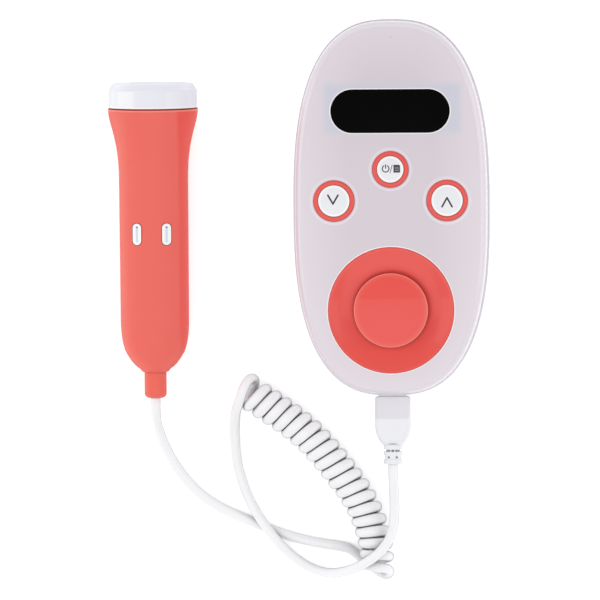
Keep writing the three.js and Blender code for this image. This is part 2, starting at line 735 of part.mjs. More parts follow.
function makeBackShell() {
  const outside = lofted([...backEdge(backEdgeInset, 0, 0), outlineAt(0, partingHeight),
    outlineAt(lipOuterInset, partingHeight), outlineAt(lipOuterInset, partingHeight + lipHeight)]);
  const inside = lofted([...backEdge(backEdgeInset, housingWall, housingWall),
    outlineAt(housingWall, partingHeight - 2 * lipRunIn), outlineAt(lipInnerInset, partingHeight - lipRunIn),
    outlineAt(lipInnerInset, partingHeight + lipHeight + cutOverrun)]);
  const side = doorHalfWidth + seatGap;
  const recessSide = side + recessMargin;
  const recessLip = doorLipHeight + seatGap;
  const thick = cut(lofted([...backEdge(backEdgeInset, 0, 0), outlineAt(0, partingHeight)]),
    housingInside(bayFloor + recessWall));
  const bed = thick.intersect(block([-recessSide, recessSide], [doorStartY - recessMargin, doorEndY],
    [-cutOverrun, recessLip + recessWall]));
  const recess = cut(block([-side, side], [doorStartY - seatGap, doorEndY], [-cutOverrun, recessLip]),
    housingInside(bayFloor));
  const bayReach = bayHalfWidth + bayWall;
  const bayOuter = block([-bayReach, bayReach], [bayStartY - bayWall, bayEndY + bayWall],
    [bayFloor, bayCeiling + bayWall]);
  const bayInner = block([-bayHalfWidth, bayHalfWidth], [bayStartY, bayEndY], [-cutOverrun, bayCeiling]);
  let shell = joined(cut(outside, inside), bed, bayOuter);
  for (const [x, y] of screwPlaces) {
    shell = joined(shell, disc(bossRadius, [housingWall / 2, bossTop], x, y, boreSides));
  }
  shell = cut(shell, recess, bayInner);
  for (const [x, y] of screwPlaces) {
    shell = cut(shell, disc(screwHeadRadius + seatGap, [-cutOverrun, screwSeatHeight], x, y, boreSides),
      disc(screwShankRadius + seatGap, [-cutOverrun, bossTop + cutOverrun], x, y, boreSides));
  }
  const slotHeights = [bayFloor - cutOverrun, recessFloorTop + cutOverrun];
  for (const start of hookStarts) {
    for (const way of [-1, 1]) {
      const inner = hookOuter - hookThickness - seatGap;
      const slot = [start - seatGap, start + hookLength + doorTravel + seatGap];
      const window = [slot[1] - hookLength - 2 * seatGap, slot[1]];
      const xs = (reach) => [way * inner, way * reach].sort((a, b) => a - b);
      shell = cut(shell, block(xs(hookOuter + seatGap), slot, slotHeights),
        block(xs(hookOuter + hookFoot + seatGap), window, slotHeights));
    }
  }
  return cut(shell, socketMouth);
}
place('back_shell', makeBackShell(), shellWhite);

// Battery door: cut from the housing's own form, with grip grooves and four hooks that ride on the bed

function makeBatteryDoor() {
  const form = lofted([...backEdge(backEdgeInset, 0, 0), outlineAt(0, partingHeight)]);
  const reach = block([-doorHalfWidth, doorHalfWidth], [doorStartY, doorEndY], [-cutOverrun, doorLipHeight]);
  let door = cut(form, housingInside(housingWall)).intersect(reach);
  const footBottom = recessFloorTop + seatGap;
  const hookTop = footBottom + hookThickness;
  const hookInner = hookOuter - hookThickness;
  for (const start of hookStarts) {
    for (const way of [-1, 1]) {
      const xs = (a, b) => [way * a, way * b].sort((p, q) => p - q);
      const ys = [start, start + hookLength];
      door = joined(door, block(xs(hookInner, hookOuter), ys, [housingWall / 2, hookTop]),
        block(xs(hookInner, hookOuter + hookFoot), ys, [footBottom, hookTop]));
    }
  }
  for (let i = 0; i < gripGrooveCount; i++) {
    const y = doorStartY + gripStartMargin + gripGroovePitch * i;
    door = cut(door, block([-gripGrooveLength / 2, gripGrooveLength / 2], [y, y + gripGrooveWidth],
      [-cutOverrun, gripGrooveDepth]));
  }
  return door;
}
place('battery_door', makeBatteryDoor(), shellWhite);

// Cells lie side by side, head to tail, each between a spring and a contact plate

function springGeometry() {
  const steps = springTurns * springCurlSteps;
  const centres = [];
  for (let i = 0; i <= steps; i++) {
    const angle = (2 * Math.PI * i) / springCurlSteps;
    const rise = springWireRadius + (springLength - 2 * springWireRadius) * (i / steps);
    centres.push(new THREE.Vector3(springRadius * Math.cos(angle), rise, springRadius * Math.sin(angle)));
  }
  return tubeThrough(centres, springWireRadius, springWireSides);
}

// One unbroken tube through a list of centres, its section carried along without twisting
function tubeThrough(centres, radius, sides) {
  const rings = [];
  let side = null;
  centres.forEach((centre, i) => {
    const before = centres[Math.max(i - 1, 0)];
    const after = centres[Math.min(i + 1, centres.length - 1)];
    const ahead = after.clone().sub(before).normalize();
    const seed = side ?? new THREE.Vector3(0, 0, 1);
    side = seed.clone().sub(ahead.clone().multiplyScalar(seed.dot(ahead))).normalize();
    const across = ahead.clone().cross(side);
    const ring = [];
    for (let k = 0; k < sides; k++) {
      const angle = (2 * Math.PI * k) / sides;
      ring.push(centre.clone().addScaledVector(side, radius * Math.cos(angle))
        .addScaledVector(across, radius * Math.sin(angle)));
    }
    rings.push(ring);
  });
  return rings;
}

function makeCell() {
  const rounding = cellRadius * cellRoundingShare;
  return revolvedAlongY([[0, 0], [cellRadius - rounding, 0], [cellRadius, rounding],
    [cellRadius, cellLength - rounding], [cellRadius - rounding, cellLength], [cellTipRadius, cellLength],
    [cellTipRadius, cellLength + cellTipLength], [0, cellLength + cellTipLength]], keySides);
}

function makeContact(y) {
  return block([-contactWidth / 2, contactWidth / 2], [y, y + contactThickness],
    [cellCentreHeight - contactHeight / 2, cellCentreHeight + contactHeight / 2]);
}

[-1, 1].forEach((way, i) => {
  const x = way * cellPitch / 2;
  const turned = way > 0;
  const along = (body, start) => {
    const flipped = turned ? body.rotate([0, 0, 180]) : body;
    const y = turned ? bayEndY - start : bayStartY + start;
    return flipped.translate([x, y, cellCentreHeight]);
  };
  const springStart = contactThickness + 2 * fitGap + seatGap / 2;
  const cellStart = springStart + springLength + seatGap;
  const plate = makeContact(fitGap).translate([0, 0, -cellCentreHeight]);
  const farPlate = makeContact(bayLength - fitGap - contactThickness).translate([0, 0, -cellCentreHeight]);
  place(`battery_cell_${i + 1}`, along(makeCell(), cellStart), cellBlue);
  place(`battery_spring_${i + 1}`, along(lofted(springGeometry()), springStart), steel);
  place(`spring_plate_${i + 1}`, along(plate, 0), steel);
  place(`contact_plate_${i + 1}`, along(farPlate, 0), steel);
});

// Housing screws

function makeScrew(x, y) {
  const headTop = screwSeatHeight - fitGap;
  const headBottom = headTop - screwHeadHeight;
  const body = revolved([[0, headBottom], [screwHeadRadius - screwSlotDepth / 2, headBottom],
    [screwHeadRadius, headBottom + screwSlotDepth / 2], [screwHeadRadius, headTop],
    [screwShankRadius, headTop], [screwShankRadius, screwSeatHeight + screwLength - screwShankRadius],
    [0, screwSeatHeight + screwLength]], boreSides, x, y);
  const arm = screwHeadRadius * screwSlotShare;
  const slot = (halfX, halfY) => block([x - halfX, x + halfX], [y - halfY, y + halfY],
    [headBottom - cutOverrun, headBottom + screwSlotDepth]);
  return cut(body, slot(arm, screwSlotWidth / 2), slot(screwSlotWidth / 2, arm));
}
screwPlaces.forEach(([x, y], i) => place(`housing_screw_${i + 1}`, makeScrew(x, y), steel));

// Probe socket: a folded cage under the board, with its contact tongue in the upper half

const socketBackY = socketMouthY + socketLength;

function makeSocketCage() {
  const half = socketWidth / 2;
  const heights = [socketCentre - socketHeight / 2, socketCentre + socketHeight / 2];
  const outside = block([-half, half], [socketMouthY, socketBackY], heights);
  const through = [socketMouthY - cutOverrun, socketBackY + cutOverrun];
  return cut(outside, block([-half + socketWall, half - socketWall], through,
    [heights[0] + socketWall, heights[1] - socketWall]));
}
place('probe_socket', makeSocketCage(), steel);

const socketTongueTop = socketTop - socketWall - plugShellWall - 3 * fitGap;

function makeSocketInsulator() {
  const half = socketWidth / 2 - socketWall - fitGap;
  const rise = socketHeight / 2 - socketWall - fitGap;
  const root = block([-half, half], [socketBackY - socketRootLength, socketBackY],
    [socketCentre - rise, socketCentre + rise]);
  const tongueHalf = plugShellWidth / 2 - plugShellWall - 2 * fitGap;
  const tongue = block([-tongueHalf, tongueHalf],
    [socketBackY - socketRootLength - socketTongueLength, socketBackY - socketRootLength / 2],
    [socketTongueTop - socketTongueThickness, socketTongueTop]);
  return joined(root, tongue);
}
place('socket_insulator', makeSocketInsulator(), black);

// Plug: the shell and its insulator stand in the over-moulding's pocket

const gripNoseY = -housingHalfLength - gripNoseGap;
const plugTipY = gripNoseY + plugShellLength;
const plugRootY = gripNoseY - plugRootDepth;
const gripEndY = gripNoseY - gripLength;
const neckEndY = gripEndY - neckLength;

function roundedSection(width, height, corner, y) {
  const shape = new THREE.Shape();
  const [w, h] = [width / 2 - corner, height / 2 - corner];
  shape.absarc(w, -h, corner, -Math.PI / 2, 0);
  shape.absarc(w, h, corner, 0, Math.PI / 2);
  shape.absarc(-w, h, corner, Math.PI / 2, Math.PI);
  shape.absarc(-w, -h, corner, Math.PI, 1.5 * Math.PI);
  const points = shape.getPoints(arcSteps / 2 - 1).slice(0, -1);
  return points.map((point) => new THREE.Vector3(point.x, y, socketCentre + point.y));
}

function makePlugGrip() {
  const sections = gripTaperShares.map((share, i) => {
    const width = gripWidth * gripWidthShares[i];
    const height = gripThickness * gripHeightShares[i];
    const corner = Math.min(gripCornerRadius, height * gripCornerShare);
    return roundedSection(width, height, corner, gripNoseY - gripLength * share);
  });
  const depth = neckRadius - neckGrooveRadius;
  const root = gripEndY + cutOverrun / 2;
  const ribs = neckProfileShares
    .map(([place, share]) => [neckGrooveRadius + depth * share, gripEndY - neckLength * place]);
  const neck = revolvedAlongY([[0, root], [neckRadius * neckRootShare, root], ...ribs, [0, neckEndY]],
    keySides).translate([0, 0, socketCentre]);
  const pocket = block([-plugShellWidth / 2 - fitGap, plugShellWidth / 2 + fitGap],
    [plugRootY, gripNoseY + cutOverrun],
    [socketCentre - plugShellHeight / 2 - fitGap, socketCentre + plugShellHeight / 2 + fitGap]);
  return cut(joined(lofted(sections), neck), pocket);
}
place('plug_grip', makePlugGrip(), cordWhite);

function makePlugShell() {
  const half = [plugShellWidth / 2, plugShellHeight / 2];
  const outside = block([-half[0], half[0]], [plugRootY + fitGap, plugTipY],
    [socketCentre - half[1], socketCentre + half[1]]);
  const inside = block([-half[0] + plugShellWall, half[0] - plugShellWall],
    [plugRootY - cutOverrun, plugTipY + cutOverrun],
    [socketCentre - half[1] + plugShellWall, socketCentre + half[1] - plugShellWall]);
  return cut(outside, inside);
}
place('plug_shell', makePlugShell(), steel);

const plugTongueBottom = socketCentre - plugShellHeight / 2 + plugShellWall + fitGap / 2;
const plugTongueHalf = plugShellWidth / 2 - plugShellWall - fitGap / 2;
const plugTongue = block([-plugTongueHalf, plugTongueHalf],
  [plugRootY + fitGap, plugTipY - plugTongueSetback],
  [plugTongueBottom, plugTongueBottom + plugTongueThickness]);
place('plug_insulator', plugTongue, black);

// Probe, built along its own axis and laid on its mouth's rim and its belly

const probePitch = Math.atan2(probeMouthRadius - probeBellyRadius, probeMouthY - probeBellyY);
const probeAxisHeight = probeBellyRadius * Math.cos(probePitch) - probeBellyY * Math.sin(probePitch);
probe.position.set(probeX, 0, probeAxisHeight);
probe.rotation.x = probePitch;

function probeProfile(wall) {
  const flare = probeFlareShares.map(([place, share]) => [
    probeHandleRadius + (probeMouthRadius - probeHandleRadius) * share - wall,
    probeMouthY + (probeHandleY - probeMouthY) * place,
  ]);
  const tail = probeTailShares.map(([place, share]) => [
    probeBellyRadius + (probeTailRadius - probeBellyRadius) * share - wall,
    probeBellyY + (probeTailY + wall - probeBellyY) * place,
  ]);
  return [...flare, ...tail];
}

const headRadius = probeMouthRadius - headInset;
const headSkirtRadius = headRadius - headStep;
const mouthBore = headSkirtRadius + fitGap;
const flangeBore = sleeveFlangeRadius + fitGap;
const handleBore = probeProfile(probeWall)
  .map(([radius, y]) => [THREE.MathUtils.clamp(radius, flangeBore, mouthBore), y]);
const handleInside = revolvedAlongY([[0, probeMouthY + cutOverrun], [mouthBore, probeMouthY + cutOverrun],
  ...handleBore, [0, probeTailY + probeWall]], probeSides);

function makeHandle() {
  const outside = revolvedAlongY([[0, probeMouthY], ...probeProfile(0),
    [probeTailRadius - tailRounding, probeTailY], [0, probeTailY]], probeSides);
  const [low, high] = [probeTailY - cutOverrun, probeTailY + probeWall + cutOverrun];
  const bore = sleeveRadius + fitGap;
  return cut(outside, handleInside,
    revolvedAlongY([[0, low], [bore, low], [bore, high], [0, high]], keySides));
}

function insertStem(x, margin, heights) {
  return stadium(insertLength + 2 * margin, insertWidth + 2 * margin, heights, x, insertY, true);
}

const handle = makeHandle();
const halfReach = [-probeMouthRadius - cutOverrun, probeMouthRadius + cutOverrun];
const handleReach = [probeTailY - cutOverrun, probeMouthY + cutOverrun];
const insertHeights = [0, probeMouthRadius];
const frontHalf = handle.intersect(block(halfReach, handleReach, [probeSplitGap / 2, halfReach[1]]));
const backHalf = handle.intersect(block(halfReach, handleReach, [halfReach[0], -probeSplitGap / 2]));
const insertHoles = [-insertX, insertX].map((x) => insertStem(x, fitGap, insertHeights));
place('probe_front_shell', cut(frontHalf, ...insertHoles), coral, probe);
place('probe_back_shell', backHalf, coral, probe);

// White inserts: flush with the handle's round, each with a slot along its middle

function makeInsert(x) {
  const [start, end] = [insertY - insertLength, insertY + insertLength];
  const skin = (offset) => revolvedAlongY([[0, start], [probeHandleRadius + offset, start],
    [probeHandleRadius + offset, end], [0, end]], probeSides);
  const body = insertStem(x, 0, insertHeights).intersect(cut(skin(insertProud), skin(-insertDepth)));
  const surface = Math.sqrt(probeHandleRadius ** 2 - insertX ** 2);
  const slot = stadium(insertSlotLength, insertSlotWidth,
    [surface - insertSlotDepth, probeMouthRadius], x, insertY, true);
  return cut(body, slot);
}
place('insert_left', makeInsert(-insertX), keyWhite, probe);
place('insert_right', makeInsert(insertX), keyWhite, probe);

// Head cap: its skirt stands in the handle's mouth, and its end wall is the face laid on the skin

const headStartY = probeMouthY + fitGap;
const faceY = headStartY + headLength;

function makeHeadCap() {
  const skirtEnd = headStartY - headSkirtLength;
  const inner = headSkirtRadius - headWall;
  return revolvedAlongY([[inner, skirtEnd], [headSkirtRadius, skirtEnd + headWall],
    [headSkirtRadius, headStartY], [headRadius, headStartY], [headRadius, faceY - headChamferLength],
    [headRadius - headChamfer, faceY], [0, faceY], [0, faceY - faceThickness], [inner, faceY - faceThickness],
    [inner, skirtEnd]], probeSides);
}
place('probe_head_cap', makeHeadCap(), keyWhite, probe);

const crystalTop = faceY - faceThickness - fitGap;
const crystalBottom = crystalTop - crystalThickness;
const holderRadius = headSkirtRadius - headWall - seatGap;
const crystalRadius = holderRadius - holderRim - fitGap;

function makeCrystal(way) {
  const round = revolvedAlongY([[0, crystalBottom], [crystalRadius, crystalBottom],
    [crystalRadius, crystalTop], [0, crystalTop]], probeSides);
  const reach = crystalRadius + cutOverrun;
  const xs = [way * crystalSplit / 2, way * reach].sort((a, b) => a - b);
  return round.intersect(block(xs, [crystalBottom - cutOverrun, crystalTop + cutOverrun], [-reach, reach]));
}
place('transmit_crystal', makeCrystal(-1), ceramic, probe);
place('receive_crystal', makeCrystal(1), ceramic, probe);

function makeCrystalHolder() {
  const top = crystalBottom - fitGap;
  const rimTop = crystalTop - crystalThickness / 2;
  return revolvedAlongY([[0, top - holderThickness], [holderRadius, top - holderThickness],
    [holderRadius, rimTop], [holderRadius - holderRim, rimTop],
    [holderRadius - holderRim, top], [0, top]], probeSides);
}
place('crystal_holder', makeCrystalHolder(), black, probe);

const boardRound = Math.min(probeHandleRadius - probeWall, mouthBore) - seatGap;
const boardReach = Math.sqrt(boardRound ** 2 - probeBoardDrop ** 2) - seatGap;
const probeBoard = block([-boardReach, boardReach], [probeBoardStartY, probeBoardStartY + probeBoardLength],
  [-probeBoardDrop, -probeBoardDrop + boardThickness]);
place('probe_board', probeBoard, boardGreen, probe);

// Tail sleeve: a bend protector whose flange is trapped inside the handle

const sleeveEndY = probeTailY - sleeveLength;

function makeSleeve() {
  const rootY = probeTailY + sleeveRootLength;
  const seat = probeTailY + probeWall + seatGap;
  const neck = sleeveRadius - fitGap;
  const flangeTop = seat + sleeveFlangeThickness;
  return revolvedAlongY([[0, rootY], [neck, rootY], [neck, flangeTop], [sleeveFlangeRadius, flangeTop],
    [sleeveFlangeRadius, seat], [neck, seat], [sleeveRadius, probeTailY],
    [sleeveRadius, sleeveEndY + sleeveChamfer],
    [sleeveRadius - sleeveChamfer / 3, sleeveEndY + sleeveChamfer / 3],
    [sleeveRadius - sleeveChamfer, sleeveEndY], [0, sleeveEndY]], keySides);
}
place('tail_sleeve', makeSleeve(), coral, probe);

// Curly cord: a left-handed helix about an axis that lies on the table and climbs over the probe's lead

const smoothThrough = (points) => new THREE.CatmullRomCurve3(points, false, 'centripetal');
const curlAxis = smoothThrough(curlAxisPoints.map((point) => new THREE.Vector3(...point)));
const radians = THREE.MathUtils.degToRad;
const curlTurns = curlWholeTurns + (curlStartDegrees - curlEndDegrees) / 360;

function curlPoint(turn) {
  const along = turn / curlTurns;
  const centre = curlAxis.getPointAt(along);
  const ahead = curlAxis.getTangentAt(along).setZ(0).normalize();
  const peel = 1 - THREE.MathUtils.smoothstep(turn, 0, curlPeelTurns);
  const opening = 1 - THREE.MathUtils.smoothstep(turn, 0, curlOpenTurns);
  const closing = THREE.MathUtils.smoothstep(turn, curlTurns - curlCloseTurns, curlTurns);
  const twist = radians(curlStartTwistDegrees) * opening - radians(curlEndTwistDegrees) * closing;
  const side = new THREE.Vector3(-ahead.y, ahead.x, 0).applyAxisAngle(new THREE.Vector3(0, 0, 1), twist);
  const angle = radians(curlStartDegrees) - 2 * Math.PI * turn;
  const reach = curlRadius + curlPeelGrowth * peel;
  const lowest = cordRadius + cordLie;
  const drop = Math.sin(angle) < 0 ? THREE.MathUtils.lerp(curlRadius, centre.z - lowest, closing) : reach;
  return centre.addScaledVector(ahead, -curlPeelBack * peel)
    .addScaledVector(side, reach * Math.cos(angle))
    .add(new THREE.Vector3(0, 0, drop * Math.sin(angle)))
    .setZ(Math.max(centre.z, lowest));
}

function curlCentres() {
  const steps = Math.round(curlTurns * curlSteps);
  const centres = [];
  for (let i = 0; i <= steps; i++) centres.push(curlPoint(curlTurns * (i / steps)));
  const nearby = 1 / (100 * curlSteps);
  const stub = (turn, inner) => {
    const end = curlPoint(turn);
    return end.clone().add(end.clone().sub(curlPoint(inner)).setLength(2 * cordRadius));
  };
  return [stub(0, nearby), ...centres, stub(curlTurns, curlTurns - nearby)];
}

// The least gap that the curls leave between each other, measured on the tube's centres
function leastGap(centres) {
  const away = Math.round(curlSteps * curlNeighbourShare);
  let least = Infinity;
  for (let i = 0; i < centres.length; i++) {
    for (let k = i + away; k < centres.length; k++) {
      least = Math.min(least, centres[i].distanceTo(centres[k]));
    }
  }
  return least - 2 * cordRadius;
}

const curls = curlCentres();
console.log(`least gap of the curly cord to itself: ${leastGap(curls).toFixed(2)} mm`);
place('curly_cord', lofted(tubeThrough(curls, cordRadius, curlSides)), cordWhite);

// Free leads: tubes from the tail sleeve and from the plug to the two ends of the curls

function leadTube(start, startAhead, points, end, endAhead) {
  const between = points.map((point) => new THREE.Vector3(...point));
  const path = smoothThrough([start, start.clone().addScaledVector(startAhead, 2 * cordRadius),
    ...between, end.clone().addScaledVector(endAhead, -leadEndStub), end]);
  const section = new THREE.Shape().absarc(0, 0, cordRadius, 0, 2 * Math.PI);
  const steps = Math.round(path.getLength() / leadStep);
  console.log(`lead of ${path.getLength().toFixed(1)} mm`);
  return solid(new THREE.ExtrudeGeometry(section, {
    steps, extrudePath: path, bevelEnabled: false, curveSegments: leadSides / 2,
  }));
}

function beyond(end, inner) {
  const ahead = end.clone().sub(inner).normalize();
  return { point: end.clone().addScaledVector(ahead, seatGap), ahead };
}

const curlHead = beyond(curls[0], curls[1]);
const curlFoot = beyond(curls[curls.length - 1], curls[curls.length - 2]);
const probeAhead = new THREE.Vector3(0, -Math.cos(probePitch), -Math.sin(probePitch));
const sleeveExit = new THREE.Vector3(probeX, 0, probeAxisHeight)
  .addScaledVector(probeAhead, seatGap - sleeveEndY);
const plugExit = new THREE.Vector3(0, neckEndY - seatGap, socketCentre);
const plugAhead = new THREE.Vector3(0, -1, 0);
const probeLead = leadTube(sleeveExit, probeAhead, probeLeadPoints, curlFoot.point, curlFoot.ahead.negate());
const unitLead = leadTube(plugExit, plugAhead, unitLeadPoints, curlHead.point, curlHead.ahead.negate());
place('probe_lead', probeLead, cordWhite);
place('unit_lead', unitLead, cordWhite);

export default doppler;
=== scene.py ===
import json
import math

import bmesh
import bpy
from mathutils import Matrix, Vector


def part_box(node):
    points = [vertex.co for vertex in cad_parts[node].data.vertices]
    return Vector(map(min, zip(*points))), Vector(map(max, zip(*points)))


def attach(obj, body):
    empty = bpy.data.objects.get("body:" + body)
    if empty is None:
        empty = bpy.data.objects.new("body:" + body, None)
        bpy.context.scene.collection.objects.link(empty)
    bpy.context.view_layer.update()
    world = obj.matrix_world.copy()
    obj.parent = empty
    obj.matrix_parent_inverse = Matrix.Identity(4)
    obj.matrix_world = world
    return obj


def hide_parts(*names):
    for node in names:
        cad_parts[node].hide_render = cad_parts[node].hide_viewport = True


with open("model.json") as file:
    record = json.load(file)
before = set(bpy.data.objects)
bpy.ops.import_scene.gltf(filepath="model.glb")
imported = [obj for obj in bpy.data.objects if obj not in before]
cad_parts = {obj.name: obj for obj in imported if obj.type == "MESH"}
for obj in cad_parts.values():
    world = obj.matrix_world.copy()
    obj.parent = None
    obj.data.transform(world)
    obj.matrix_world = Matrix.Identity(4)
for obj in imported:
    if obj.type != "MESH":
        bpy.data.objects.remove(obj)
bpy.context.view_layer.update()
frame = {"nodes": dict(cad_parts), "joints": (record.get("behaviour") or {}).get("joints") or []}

# Back shell
# The white moulding that carries everything: a flat back with a deep rounded edge, the battery bay,
# the screw posts and a tongue round its rim. Injection moulded in ABS, with a satin polish.

mm = 0.001
shell_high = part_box("back_shell")[1]
half_width = shell_high.x
half_length = shell_high.y
housing_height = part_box("front_cover")[1].z
wall = 2 * mm
seat_gap = 0.3 * mm
fit_gap = 0.15 * mm
overrun = 1 * mm
outline_power = 2.65
outline_points = 168
back_edge_inset = 9 * mm
back_edge_rise = 12 * mm
lip_height = 1.6 * mm
lip_outer_inset = 1.95 * mm
lip_inner_inset = 3.1 * mm
lip_run_in = 1.4 * mm
rim_round = 0.45 * mm
parting_height = shell_high.z - lip_height
edge_steps = 10


def outline(inset, height):
    """The housing's outline, a superellipse, drawn in by an inset."""
    ring = []
    for i in range(outline_points):
        angle = 2 * math.pi * i / outline_points
        c, s = math.cos(angle), math.sin(angle)
        bulge = (abs(c) ** outline_power + abs(s) ** outline_power) ** (-1 / outline_power)
        ring.append(Vector(((half_width - inset) * c * bulge, (half_length - inset) * s * bulge, height)))
    return ring


def back_edge(start_inset, start_height, end_inset):
    """Rings of the back's rounded edge, a quarter ellipse up to the side wall."""
    rings = []
    for step in range(edge_steps + 1):
        angle = math.pi / 2 * step / edge_steps
        inset = end_inset + (start_inset - end_inset) * (1 - math.sin(angle))
        height = start_height + (back_edge_rise - start_height) * (1 - math.cos(angle))
        rings.append(outline(inset, height))
    return rings


def quarter_round(radius, steps):
    """Insets and drops of a rounded edge, from the side to the top."""
    rounds = []
    for step in range(steps + 1):
        angle = math.pi / 2 * step / steps
        rounds.append((radius * (1 - math.cos(angle)), radius * (1 - math.sin(angle))))
    return rounds


def shoulder(inset, radius, top):
    """Rings of a rounded upper edge, from the side to the flat top."""
    return [outline(inset + lean, top - drop) for lean, drop in quarter_round(radius, edge_steps)]


def form(points, faces):
    """A closed mesh as an object that can be cut, joined or finished."""
    mesh = bpy.data.meshes.new("form")
    mesh.from_pydata([tuple(point) for point in points], [], faces)
    edited = bmesh.new()
    edited.from_mesh(mesh)
    bmesh.ops.remove_doubles(edited, verts=edited.verts, dist=0.0001 * mm)
    bmesh.ops.recalc_face_normals(edited, faces=edited.faces)
    edited.to_mesh(mesh)
    edited.free()
    made = bpy.data.objects.new("form", mesh)
    bpy.context.scene.collection.objects.link(made)
    return made


def lofted(rings):
    """A solid through a list of closed rings, flat at both ends."""
    count = len(rings[0])
    faces = [list(range(count)), list(range((len(rings) - 1) * count, len(rings) * count))]
    for ring in range(len(rings) - 1):
        for i in range(count):
            a, b = ring * count + i, ring * count + (i + 1) % count
            faces.append((a, b, b + count, a + count))
    return form([point for ring in rings for point in ring], faces)


def block(low, high):
    """A box between two corners."""
    rings = []
    for z in (low[2], high[2]):
        rings.append([Vector((x, y, z)) for x, y in
                      ((low[0], low[1]), (high[0], low[1]), (high[0], high[1]), (low[0], high[1]))])
    return lofted(rings)


def combined(body, others, operation):
    """Cuts, joins or intersects a form with others, which are used up."""
    for other in others:
        step = body.modifiers.new(operation, "BOOLEAN")
        step.operation = operation
        step.solver = "MANIFOLD"
        step.object = other
    graph = bpy.context.evaluated_depsgraph_get()
    mesh = bpy.data.meshes.new_from_object(body.evaluated_get(graph))
    body.modifiers.clear()
    body.data = mesh
    for other in others:
        bpy.data.objects.remove(other)
    return body


def cut(body, *tools):
    return combined(body, tools, "DIFFERENCE")


def joined(body, *others):
    return combined(body, others, "UNION")


def common(body, *others):
    return combined(body, others, "INTERSECT")


def rounded(corners, steps=5):
    """Points of an outline given as (x, y) or (x, y, radius of the rounding)."""
    points = []
    for i, corner in enumerate(corners):
        here = Vector(corner[:2])
        if len(corner) < 3:
            points.append(here)
            continue
        before = (Vector(corners[i - 1][:2]) - here).normalized()
        after = (Vector(corners[(i + 1) % len(corners)][:2]) - here).normalized()
        half = before.angle(after) / 2
        centre = here + (before + after).normalized() * corner[2] / math.sin(half)
        start = here + before * corner[2] / math.tan(half) - centre
        way = math.copysign(1, before.x * after.y - before.y * after.x)
        for step in range(steps + 1):
            turn = -way * (math.pi - 2 * half) * step / steps
            c, s = math.cos(turn), math.sin(turn)
            points.append(centre + Vector((start.x * c - start.y * s, start.x * s + start.y * c)))
    return points


def turned(corners, where, sides=96):
    """A form turned about an axis from corners of (radius, height) or (radius, height, rounding)."""
    profile = rounded(corners)
    on_axis = profile[0].x == 0
    count = len(profile)
    points = []
    for i in range(sides):
        angle = 2 * math.pi * i / sides
        for point in profile:
            points.append(where @ Vector((point.x * math.cos(angle), point.x * math.sin(angle), point.y)))
    faces = []
    for i in range(sides):
        a, b = i * count, (i + 1) % sides * count
        for k in range(count - 1 if on_axis else count):
            after = (k + 1) % count
            faces.append((a + k, b + k, b + after, a + after))
    return form(points, faces)


def rod(radius, low, high, where, sides=48):
    """A plain round rod between two heights of an axis."""
    return turned([(0, low), (radius, low), (radius, high), (0, high)], where, sides)


def upright(x, y):
    """The upright axis over a place."""
    return Matrix.Translation((x, y, 0))


def linear(red, green, blue):
    """A colour picked on a scale of 0 to 255, in the linear values of the shader."""
    values = [value / 255 for value in (red, green, blue)]
    return [v / 12.92 if v <= 0.04045 else ((v + 0.055) / 1.055) ** 2.4 for v in values] + [1]


class Signal:
    """An output of a finish's nodes. Sums and products of signals add Math nodes."""

    def __init__(self, finish, socket):
        self.finish = finish
        self.socket = socket

    def math(self, operation, *values, clamp=False):
        settings = {"operation": operation, "use_clamp": clamp}
        return self.finish.node("ShaderNodeMath", settings, dict(enumerate(values)))

    def __add__(self, other):
        return self.math("ADD", self, other)

    def __sub__(self, other):
        return self.math("SUBTRACT", self, other)

    def __rsub__(self, other):
        return self.math("SUBTRACT", other, self)

    def __mul__(self, other):
        return self.math("MULTIPLY", self, other)

    def __truediv__(self, other):
        return self.math("DIVIDE", self, other)

    def __pow__(self, other):
        return self.math("POWER", self, other)

    def __abs__(self):
        return self.math("ABSOLUTE", self)

    def greater(self, other):
        return self.math("MAXIMUM", self, other)

    def root(self):
        return self.math("SQRT", self)

    def clamped(self):
        return self.math("ADD", self, 0, clamp=True)

    def edge(self, per_mm):
        """A mask: 0 below zero, then rising by so much for each millimetre, up to 1."""
        return (self * (per_mm / mm)).clamped()

    __radd__ = __add__
    __rmul__ = __mul__


def distance(across, along):
    """How far two signals, at right angles to each other, lead together."""
    return (across * across + along * along).root()


